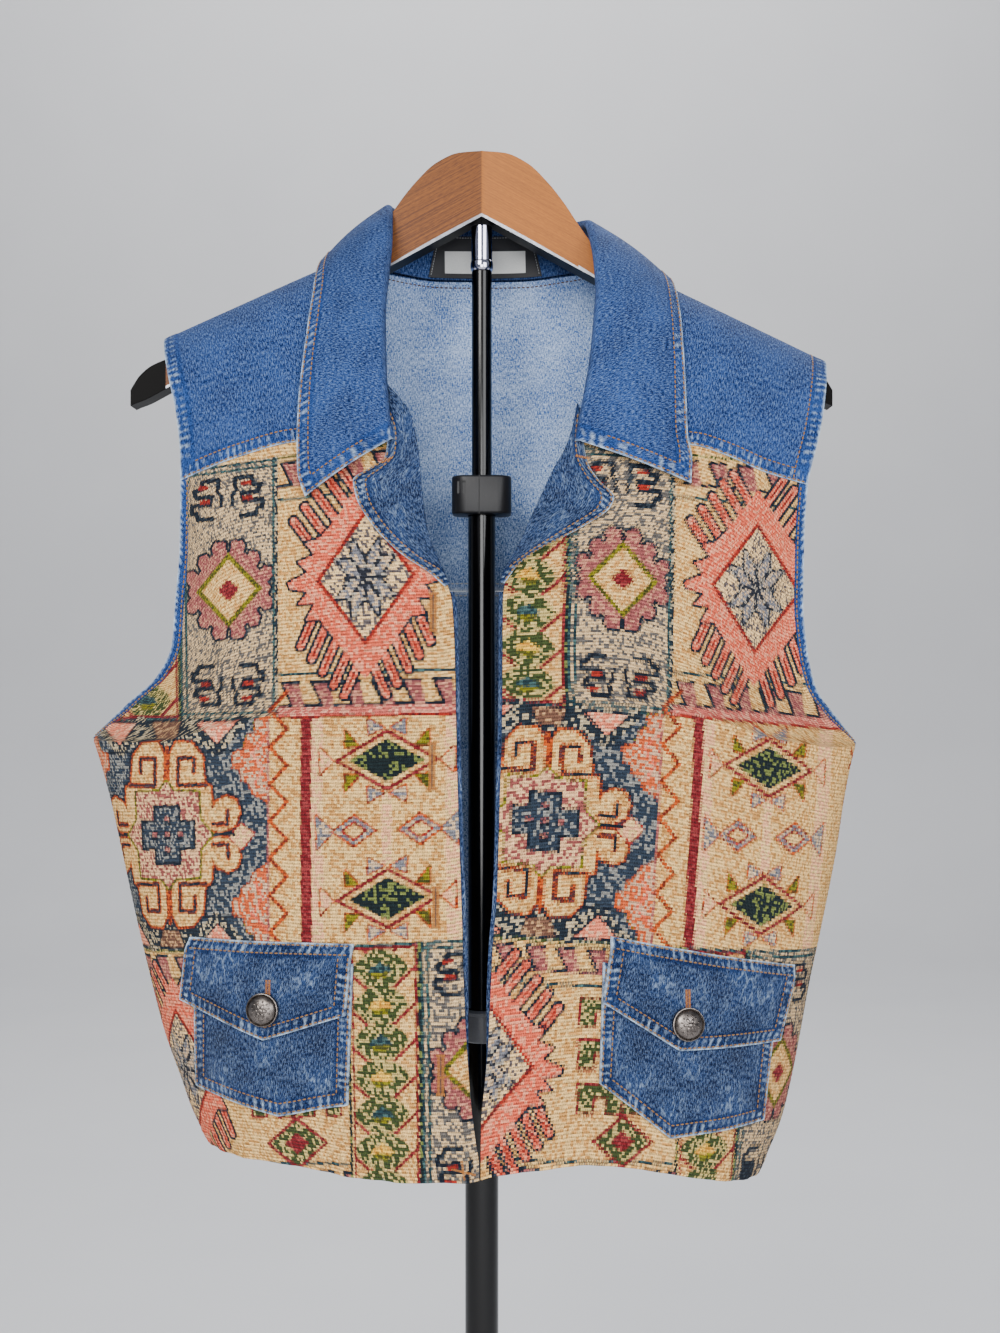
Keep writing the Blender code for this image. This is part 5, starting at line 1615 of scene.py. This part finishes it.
class VEST_OT_flap_buttons(VestOperator, Operator):
    """Domed metal shank buttons with a plain flower, one on each flap"""
    bl_idname = "vest.flap_buttons"
    bl_label = "Flap buttons"

    def execute(self, context):
        sizes = context.scene.vest_trim
        wall = context.scene.vest_cloth.wall
        radius, dome = sizes.button_radius, sizes.button_dome
        base = BUTTON_SHANK + BUTTON_RIM
        for side in (RIGHT, LEFT):
            bm = bmesh.new()
            top = [(radius * 0.86 * math.sin(turn), base - 0.0004 + dome * math.cos(turn))
                   for turn in np.radians(np.linspace(0, 84, 12))]
            rim = [(radius * 0.885, base - 0.0002), (radius * 0.93, base + 0.0008),
                   (radius * 0.975, base + 0.0007), (radius, base - 0.0003), (radius * 0.99, BUTTON_SHANK),
                   (BUTTON_SHANK_RADIUS, BUTTON_SHANK), (BUTTON_SHANK_RADIUS, 0.0), (0.0, 0.0)]
            spun(bm, top + rim, 56)
            for count, spread, size in ((1, 0.0, 0.17), (6, 0.34, 0.13), (12, 0.62, 0.065)):
                for k in range(count):
                    turn = 2 * math.pi * (k + 0.5 * (count == 12)) / count
                    away = radius * 0.86 * spread
                    z = base - 0.0004 + dome * math.sqrt(1 - spread ** 2)
                    tilt = math.asin(spread)
                    at = Matrix.Translation((away * math.cos(turn), away * math.sin(turn), z))
                    lean = Matrix.Rotation(turn, 4, "Z") @ Matrix.Rotation(tilt, 4, "Y")
                    shape = Matrix.Diagonal((radius * size * 1.35, radius * size * 0.8, radius * 0.055, 1))
                    bmesh.ops.create_uvsphere(bm, u_segments=10, v_segments=6, radius=1.0,
                                              matrix=at @ lean @ shape)
            joined(bm)
            x, z = BUTTONS[side]
            lift = POCKET_LIFT + FLAP_LIFT + wall + SEAM_GAP
            seat, across, up = (on_front(np.array([side * x + dx]), np.array([z + dz]), lift)[0]
                                for dx, dz in ((0, 0), (0.008, 0), (0, 0.008)))
            normal = Vector(np.cross(across - seat, up - seat)).normalized()
            turn = normal.to_track_quat("Z", "Y").to_matrix().to_4x4()
            bmesh.ops.transform(bm, matrix=Matrix.Translation(seat) @ turn, verts=bm.verts[:])
            name = sided("metal_button", side)
            made = finished(name, baked(name, bm), [FINISHES["gunmetal"]], 35)
            hard_piece(made, sided("flap_button", side))
        return {"FINISHED"}


def satin_bar(threads, points, bar, lift):
    """Close stitches across a line on the front, as in a bar tack or one side of a buttonhole."""
    width, pitch, thickness = bar
    points = np.array(points)
    run = distances(points)
    count = max(int(run[-1] / pitch), 2)
    line = between(np.linspace(0, run[-1], count), run, points)
    aside = unit(np.gradient(line, axis=0))[:, ::-1] * (1, -1)
    spots = [on_front(line[:, 0] + aside[:, 0] * w, line[:, 1] + aside[:, 1] * w, lift)
             for w in (-width / 2, width / 2)]
    centre = on_front(line[:, 0], line[:, 1], lift + 0.004) - on_front(line[:, 0], line[:, 1], lift)
    for k in range(count):
        threads.add(spots[0][k], spots[1][k], centre[k], thickness, 0.0003)


class VEST_OT_buttonholes(VestOperator, Operator):
    """Gold buttonholes down the right front and on the flaps, and the bar tacks beside them"""
    bl_idname = "vest.buttonholes"
    bl_label = "Buttonholes and bar tacks"

    def execute(self, context):
        gold, brown = THREADS["gold"], THREADS["brown"]
        flap_top = POCKET_LIFT + FLAP_LIFT + context.scene.vest_cloth.wall
        lapel_top = LAPEL_LIFT + context.scene.vest_cloth.wall + 0.0008
        for x, low, high in BUTTONHOLES:
            for step in (-HOLE_STEP, HOLE_STEP):
                satin_bar(gold, [(x + step, low), (x + step, high)], HOLE_BAR, 0.0003)
            satin_bar(brown, [(x, low), (x, high)], SLIT_BAR, 0.0004)
            for z in (low, high):
                satin_bar(gold, [(x - HOLE_END, z), (x + HOLE_END, z)], END_BAR, 0.0006)
        for points in NOTCH_TACKS:
            satin_bar(gold, points, NOTCH_BAR, lapel_top)
        for points in HEM_TACKS:
            satin_bar(gold, points, HEM_BAR, 0.0006)
        for x, low, high in FLAP_TACKS:
            for step in (-FLAP_STEP, FLAP_STEP):
                satin_bar(gold, [(x + step, low), (x + step, high)], FLAP_BAR, flap_top)
        return {"FINISHED"}


class VEST_OT_stitching(VestOperator, Operator):
    """All the rows of topstitching, gathered while the cloth pieces were made"""
    bl_idname = "vest.stitching"
    bl_label = "Stitching"

    def execute(self, context):
        for name, threads in THREADS.items():
            made = threads.build(f"{name}_stitching", FINISHES[f"{name}_thread"])
        return {"FINISHED"}


class VEST_OT_hanger(VestOperator, Operator):
    """Wooden hanger head with dark ends, its metal strip and its ferrule"""
    bl_idname = "vest.hanger"
    bl_label = "Hanger"

    def execute(self, context):
        top_of = Curve(HANGER_TOP)

        def under(x):
            tip = ease((x - HANGER_TIP + 0.012) / 0.012)
            return HANGER_APEX - HANGER_UNDER_SLOPE * x + HANGER_TIP_RISE * tip

        def place(u, v, depth):
            x = (2 * u - 1) * HANGER_TIP
            z = lerp(under(np.abs(x)), top_of(np.abs(x)), v)
            y = -SWEEP * np.abs(x) + HANGER_THICKNESS * (depth - 0.5)
            return np.stack(np.broadcast_arrays(x, y, z), -1)

        made = Sheet(place, *GRIDS["hanger"]).build("hanger_head", [FINISHES[name] for name in (
            "wood", "dark_wood", "dark_wood", "steel")])
        centres = numbers(made.data.polygons, "center", 3)
        index = numbers(made.data.polygons, "material_index", 1).astype(int)
        above = centres[:, 2] - under(np.abs(centres[:, 0]))
        index[(index == 2) & (above > 0.004)] = 0
        index[(index == 0) & (above < HANGER_STRIP)] = 3
        index[(np.abs(centres[:, 0]) > HANGER_DARK_FROM) & (index != 2)] = 1
        made.data.polygons.foreach_set("material_index", index.astype(np.int32))
        bevel = made.modifiers.new("Round edges", "BEVEL")
        bevel.width = context.scene.vest_stand.hanger_round
        bevel.segments = 3
        bevel.limit_method = "ANGLE"
        bevel.angle_limit = math.radians(60)
        bevel.material = -1
        hard_piece(made, "hanger")
        top = HANGER_APEX - HANGER_UNDER_SLOPE * FERRULE_RADIUS - 2 * SEAM_GAP
        bead = [(lerp(FERRULE_RADIUS, FERRULE_BEAD, math.sin(turn)),
                 FERRULE_BOTTOM + 0.0035 + 0.003 * math.cos(turn)) for turn in np.linspace(0, math.pi, 9)]
        profile = [(0.0, top), (FERRULE_RADIUS - 0.0004, top), (FERRULE_RADIUS, top - 0.0004),
                   (FERRULE_RADIUS, FERRULE_BOTTOM + 0.0085), *bead,
                   (FERRULE_RADIUS - 0.0003, FERRULE_BOTTOM), (0.0, FERRULE_BOTTOM)]
        turned("chrome_ferrule", profile, 56, "chrome", "hanger_ferrule")
        return {"FINISHED"}


class VEST_OT_stand(VestOperator, Operator):
    """Telescoping pole with its clamp and ring, and the round base"""
    bl_idname = "vest.stand"
    bl_label = "Stand"

    def execute(self, context):
        stand = context.scene.vest_stand
        upper, middle, lower = stand.upper_radius, stand.middle_radius, stand.lower_radius
        for name, radius, high, low in (
                ("upper", upper, FERRULE_BOTTOM - SEAM_GAP, CLAMP_CENTRE + SEAM_GAP),
                ("middle", middle, CLAMP_CENTRE, RING_STEP + SEAM_GAP / 2),
                ("lower", lower, RING_STEP - SEAM_GAP / 2, SOCKET_FLOOR + SEAM_GAP)):
            profile = [(0.0, high), (radius - 0.0004, high), (radius, high - 0.0004), (radius, low),
                       (0.0, low)]
            turned(f"{name}_tube", profile, 64, "black_tube", f"pole_{name}")
        outer, inside, bore = stand.ring_radius, middle + SEAM_GAP, lower + SEAM_GAP
        ring = [(inside, RING_TOP - 0.0006), (middle + 0.001, RING_TOP)]
        ring += [(outer + step, RING_TOP - drop) for step, drop in RING_STEPS]
        ring += [(outer + 0.0004, RING_BOTTOM + 0.001), (outer - 0.0006, RING_BOTTOM), (bore, RING_BOTTOM),
                 (bore, RING_STEP + SEAM_GAP / 2), (inside, RING_STEP + SEAM_GAP / 2)]
        turned("grey_ring", ring, 64, "grey_plastic", "pole_ring")
        self.clamp(stand, upper)
        boss, base, thick = stand.boss_radius, stand.base_radius, stand.base_thick
        rounded = [(base + BASE_ROUND * (math.sin(turn) - 1), thick + BASE_ROUND * (math.cos(turn) - 1))
                   for turn in np.linspace(0, math.pi / 2, 7)]
        foot = [(0.0, SOCKET_FLOOR), (bore, SOCKET_FLOOR), (bore, BOSS_TOP - 0.0004),
                (bore + 0.0005, BOSS_TOP), (boss - 0.002, BOSS_TOP), (boss - 0.0006, BOSS_TOP - 0.0006),
                (boss, BOSS_TOP - 0.002), (boss, thick + 0.004), (boss + 0.0012, thick + 0.0012),
                (boss + 0.004, thick), *rounded, (base, 0.0008), (base - 0.0008, 0.0), (0.0, 0.0)]
        turned("round_base", foot, 120, "black_base", "stand_base")
        return {"FINISHED"}

    def clamp(self, stand, upper):
        """Rounded clamp block with two slots, a vertical split and a bore for the tubes."""
        bm = bmesh.new()
        bmesh.ops.create_cube(bm, size=1.0)
        bmesh.ops.scale(bm, vec=(stand.clamp_wide, stand.clamp_deep, stand.clamp_tall), verts=bm.verts[:])
        upright = [edge for edge in bm.edges
                   if abs(edge.verts[0].co.z - edge.verts[1].co.z) > stand.clamp_tall / 2]
        bmesh.ops.bevel(bm, geom=upright, offset=0.0095, segments=8, profile=0.5, material=-1, affect="EDGES")
        rims = [edge for edge in bm.edges if abs(edge.verts[0].co.z - edge.verts[1].co.z) < 1e-6
                and len(edge.link_faces) == 2
                and abs(edge.link_faces[0].normal.dot(edge.link_faces[1].normal)) < 0.5]
        bmesh.ops.bevel(bm, geom=rims, offset=0.0016, segments=3, profile=0.5, material=-1, affect="EDGES")
        bmesh.ops.translate(bm, vec=(0, 0, CLAMP_CENTRE), verts=bm.verts[:])
        joined(bm)
        made = finished("tube_clamp", baked("clamp_block", bm), [FINISHES["black_plastic"]], 35)
        narrow, wide = upper + SEAM_GAP, stand.middle_radius + SEAM_GAP
        high, step, low = CLAMP_CENTRE + 0.02, CLAMP_CENTRE + SEAM_GAP, CLAMP_CENTRE - 0.02
        cuts = bmesh.new()
        spun(cuts, [(0.0, high), (narrow, high), (narrow, step), (wide, step), (wide, low), (0.0, low)], 48)
        for x, rise, size in CLAMP_SLOTS:
            spot = Matrix.Translation((x, -stand.clamp_deep / 2, CLAMP_CENTRE + rise))
            bmesh.ops.create_cube(cuts, size=1.0, matrix=spot @ Matrix.Diagonal((*size, 1)))
        joined(cuts)
        cutter = linked("clamp_cuts", baked("clamp_cuts", cuts))
        cut = made.modifiers.new("Cuts", "BOOLEAN")
        cut.operation = "DIFFERENCE"
        cut.use_self = True
        cut.object = cutter
        shaped = bpy.data.meshes.new_from_object(made.evaluated_get(bpy.context.evaluated_depsgraph_get()))
        made.modifiers.remove(cut)
        made.data = shaped
        shaped.name = "tube_clamp"
        shaped.shade_smooth()
        shaped.set_sharp_from_angle(angle=math.radians(35))
        bpy.data.objects.remove(cutter, do_unlink=True)
        hard_piece(made, "pole_clamp")


class VEST_OT_stage(VestOperator, Operator):
    """Pale floor and backdrop, soft lights, and the camera at the photograph's angle"""
    bl_idname = "vest.stage"
    bl_label = "Stage"

    def execute(self, context):
        camera = linked("camera", bpy.data.cameras.new("camera"))
        camera.location = CAMERA_PLACE
        camera.rotation_euler = (math.pi / 2, 0, 0)
        camera.data.sensor_width = SENSOR
        camera.data.lens = FOCAL_PIXELS / PHOTO_TALL * SENSOR
        camera.data.clip_end = 50
        context.scene.camera = camera

        bm = bmesh.new()
        bmesh.ops.create_grid(bm, x_segments=2, y_segments=60, size=1.0)
        for vert in bm.verts:
            vert.co = backdrop_point(vert.co.x, vert.co.y)
        bmesh.ops.recalc_face_normals(bm, faces=bm.faces[:])
        floor = linked("pale_sweep", baked("pale_sweep", bm))
        floor.data.shade_smooth()
        finish = Finish("pale sweep", Roughness=0.95)
        finish.colour(finish.noise(3.0, 2.0), linear(206, 206, 208), linear(214, 214, 215))
        floor.data.materials.append(finish.material)

        world = context.scene.world or bpy.data.worlds.new("soft room")
        context.scene.world = world
        world.use_nodes = True
        backing = world.node_tree.nodes["Background"]
        backing.inputs["Color"].default_value = (0.8, 0.86, 1.0, 1.0)
        backing.inputs["Strength"].default_value = 0.3
        for name, spot, aim, size, power, colour in LIGHTS:
            lamp = bpy.data.lights.new(name, "AREA")
            lamp.shape = "RECTANGLE"
            lamp.size, lamp.size_y = size
            lamp.energy = power
            lamp.color = colour
            made = linked(name, lamp)
            made.location = spot
            made.rotation_euler = (Vector(aim) - Vector(spot)).to_track_quat("-Z", "Y").to_euler()
        return {"FINISHED"}


def backdrop_point(across, along):
    """Floor in front, a wide curve, and a wall behind."""
    reach, back, bend, tall = 7.0, 4.6, 0.8, 4.5
    flat = reach + back - bend
    total = flat + bend * math.pi / 2 + tall
    run = (along + 1) / 2 * total
    if run < flat:
        y, z = -reach + run, 0.0
    elif run < flat + bend * math.pi / 2:
        turn = (run - flat) / bend
        y, z = back - bend + bend * math.sin(turn), bend * (1 - math.cos(turn))
    else:
        y, z = back, bend + run - flat - bend * math.pi / 2
    return (across * 9.0, y, z - 0.0005)


LIGHTS = (
    ("key", (-0.9, -2.3, 2.1), (0.0, 0.0, 0.85), (1.2, 1.2), 74.0, (1.0, 0.98, 0.95)),
    ("fill", (1.3, -2.1, 1.3), (0.0, 0.0, 0.85), (1.3, 1.3), 38.0, (0.97, 0.98, 1.0)),
    ("front", (0.0, -2.6, 0.9), (0.0, 0.0, 0.85), (1.0, 1.0), 32.0, (1.0, 1.0, 1.0)),
    ("back", (0.6, 1.5, 2.6), (0.0, 0.0, 0.8), (1.4, 1.0), 44.0, (0.95, 0.97, 1.0)),
    ("sweep", (0.0, 2.2, 4.6), (0.0, 4.8, 1.2), (3.0, 1.5), 150.0, (1.0, 1.0, 1.0)),
)

# Slots of the clamp: distance from the middle, height over the clamp's middle, and size
CLAMP_SLOTS = (
    (-0.0155, 0.0045, (0.0022, 0.004, 0.008)),
    (-0.0115, 0.0045, (0.0022, 0.004, 0.008)),
    (-0.0015, 0.0, (0.0006, 0.003, 0.03)),
)

# Buttonholes down the right front and tacks on the flaps: signed x, low and high ends
BUTTONHOLES = (
    (-0.0297, 0.8785, 0.9015), (-0.0302, 0.78, 0.808), (-0.0275, 0.696, 0.72), (-0.024, 0.596, 0.619),
)
FLAP_TACKS = ((-0.1285, 0.6532, 0.6618), (0.1252, 0.644, 0.656))

HOLE_STEP = 0.0013
HOLE_END = 0.0024
FLAP_STEP = 0.0009

# Satin bars: width, pitch of the stitches and their thickness
HOLE_BAR = (0.0022, 0.00075, 0.0006)
SLIT_BAR = (0.001, 0.0007, 0.0007)
END_BAR = (0.0022, 0.0007, 0.0006)
NOTCH_BAR = (0.0018, 0.0008, 0.0007)
HEM_BAR = (0.0016, 0.0007, 0.0006)
FLAP_BAR = (0.0018, 0.0007, 0.0006)

# Tacks at the collar notches and by the hem: the ends of each
NOTCH_TACKS = (
    ((-0.0555, 0.9865), (-0.0608, 0.9838)), ((0.059, 0.9878), (0.0668, 0.9862)),
)
HEM_TACKS = (
    ((-0.017, 0.552), (-0.003, 0.549)), ((-0.011, 0.557), (-0.0095, 0.546)),
    ((-0.024, 0.606), (-0.017, 0.6075)), ((-0.0165, 0.6), (-0.01, 0.6015)),
)

# Pattern of the tapestry, in units of a photograph's pixel
PATTERN_LINE = 0.12
PATTERN_ROWS = Curve(((0.542, 1180), (0.6829, 946), (0.8234, 718), (0.9894, 455), (1.02, 407)))
PATTERN_LEAN = {
    RIGHT: Curve(((455, 0), (720, 0), (945, 3), (1180, 12))),
    LEFT: Curve(((455, 4), (720, 0), (945, -13), (1180, -24))),
}
PATTERN_TILT = {
    RIGHT: Curve(((455, -0.12), (720, -0.025), (945, -0.075), (1180, -0.085))),
    LEFT: Curve(((455, 0.08), (720, 0.085), (945, 0.08), (1180, 0.09))),
}
PATTERN_HINGE = {RIGHT: 300, LEFT: 690}
BURSTS = {RIGHT: ((455, 279), (948, 527)), LEFT: ((455, 671), (948, 873))}
MEDALLIONS = {RIGHT: (718, 308), LEFT: (718, 700)}

# Grain, counts and stitches
RIB_PITCH = 0.0011
PICK_PITCH = 0.0022
TWILL = 5200.0
STITCH_PITCH = 0.0031
STITCH_THICK = 0.00105
STITCH_FLAT = 0.75
PUCKER_PITCH = 0.0046
INNER_RELIEF = 0.6
PANEL_BREAK = 0.6
PANEL_HOLD = 1.7
BACK_BREAK = 0.75
HANGER_DARK_FROM = 0.205
HANGER_STRIP = 0.0022

# Grid of each sheet: cells across and up
GRIDS = {
    "panel": (186, 250), "band": (8, 170), "front_yoke": (120, 84), "back": (170, 108),
    "back_yoke": (170, 78), "facing": (16, 150), "lapel": (44, 96), "collar": (360, 62),
    "label": (60, 24), "pocket": (92, 76), "flap": (92, 46), "hanger": (180, 20),
}

FINISHES = {}
THREADS = {colour: Threads() for colour in ("copper", "gold", "pale", "brown")}


# Settings, panel and registration

def size_property(name, description, default):
    return FloatProperty(name=name, description=description, default=default, unit="LENGTH")


def colour_property(name, description, default):
    return FloatVectorProperty(name=name, description=description, default=linear(*default), subtype="COLOR",
                               min=0, max=1, size=3)


class VestClothSettings(PropertyGroup):
    wall: size_property("Wall", "Thickness of the cloth", 0.0018)


class VestTrimSettings(PropertyGroup):
    button_radius: size_property("Button radius", "Outer radius of the flap buttons", 0.0105)
    button_dome: size_property("Button dome", "Height of the dome over the button's rim", 0.0042)


class VestStandSettings(PropertyGroup):
    hanger_round: size_property("Hanger rounding", "Bevel along the hanger's edges", 0.0035)
    upper_radius: size_property("Upper tube", "Radius of the upper tube", 0.0066)
    middle_radius: size_property("Middle tube", "Radius of the middle tube", 0.009)
    lower_radius: size_property("Lower tube", "Radius of the lower tube", 0.011)
    ring_radius: size_property("Ring", "Radius of the ring under the middle tube", 0.0123)
    clamp_wide: size_property("Clamp width", "Width of the clamp block", 0.039)
    clamp_deep: size_property("Clamp depth", "Depth of the clamp block", 0.034)
    clamp_tall: size_property("Clamp height", "Height of the clamp block", 0.025)
    boss_radius: size_property("Boss", "Radius of the socket on the base", 0.018)
    base_radius: size_property("Base", "Radius of the round base", 0.16)
    base_thick: size_property("Base thickness", "Thickness of the round base", 0.01)


class VestColourSettings(PropertyGroup):
    denim_deep: colour_property("Denim, deep", "Darkest indigo of the denim's face", (7, 24, 66))
    denim_plain: colour_property("Denim, plain", "Usual indigo of the denim's face", (48, 82, 144))
    denim_faded: colour_property("Denim, faded", "Indigo worn off at the edges", (176, 198, 222))
    pocket_deep: colour_property("Pocket, deep", "Darkest indigo of the pockets", (8, 19, 46))
    pocket_plain: colour_property("Pocket, plain", "Usual indigo of the pockets", (34, 60, 106))
    reverse_deep: colour_property("Reverse, deep", "Dark threads on the denim's reverse", (44, 88, 158))
    reverse_plain: colour_property("Reverse, plain", "Pale threads on the denim's reverse", (190, 214, 246))
    thread: colour_property("Thread", "Topstitching", (150, 110, 44))
    gold_thread: colour_property("Gold thread", "Buttonholes and bar tacks", (196, 120, 4))


class VEST_PT_panel(Panel):
    bl_label = "Western vest"
    bl_idname = "VEST_PT_panel"
    bl_space_type = "VIEW_3D"
    bl_region_type = "UI"
    bl_category = "Vest"

    def draw(self, context):
        for settings in (context.scene.vest_cloth, context.scene.vest_trim, context.scene.vest_stand,
                         context.scene.vest_colours):
            box = self.layout.box()
            for name in settings.__annotations__:
                box.prop(settings, name)
        for operator in OPERATORS:
            self.layout.operator(operator.bl_idname)


OPERATORS = (
    VEST_OT_stage, VEST_OT_back, VEST_OT_front_yokes, VEST_OT_front_panels, VEST_OT_armhole_bands,
    VEST_OT_facings, VEST_OT_lapels, VEST_OT_collar, VEST_OT_neck_label, VEST_OT_pockets,
    VEST_OT_flap_buttons, VEST_OT_buttonholes, VEST_OT_stitching, VEST_OT_hanger, VEST_OT_stand,
)
SETTINGS = {"vest_cloth": VestClothSettings, "vest_trim": VestTrimSettings, "vest_stand": VestStandSettings,
            "vest_colours": VestColourSettings}


def register():
    for settings in SETTINGS.values():
        bpy.utils.register_class(settings)
    for name, settings in SETTINGS.items():
        setattr(bpy.types.Scene, name, PointerProperty(type=settings))
    for operator in OPERATORS:
        bpy.utils.register_class(operator)
    bpy.utils.register_class(VEST_PT_panel)


def unregister():
    bpy.utils.unregister_class(VEST_PT_panel)
    for operator in reversed(OPERATORS):
        bpy.utils.unregister_class(operator)
    for name, settings in SETTINGS.items():
        delattr(bpy.types.Scene, name)
        bpy.utils.unregister_class(settings)


def main():
    register()
    make_finishes(bpy.context.scene.vest_colours)
    for operator in OPERATORS:
        group, name = operator.bl_idname.split(".")
        getattr(getattr(bpy.ops, group), name)()


if __name__ == "__main__":
    main()
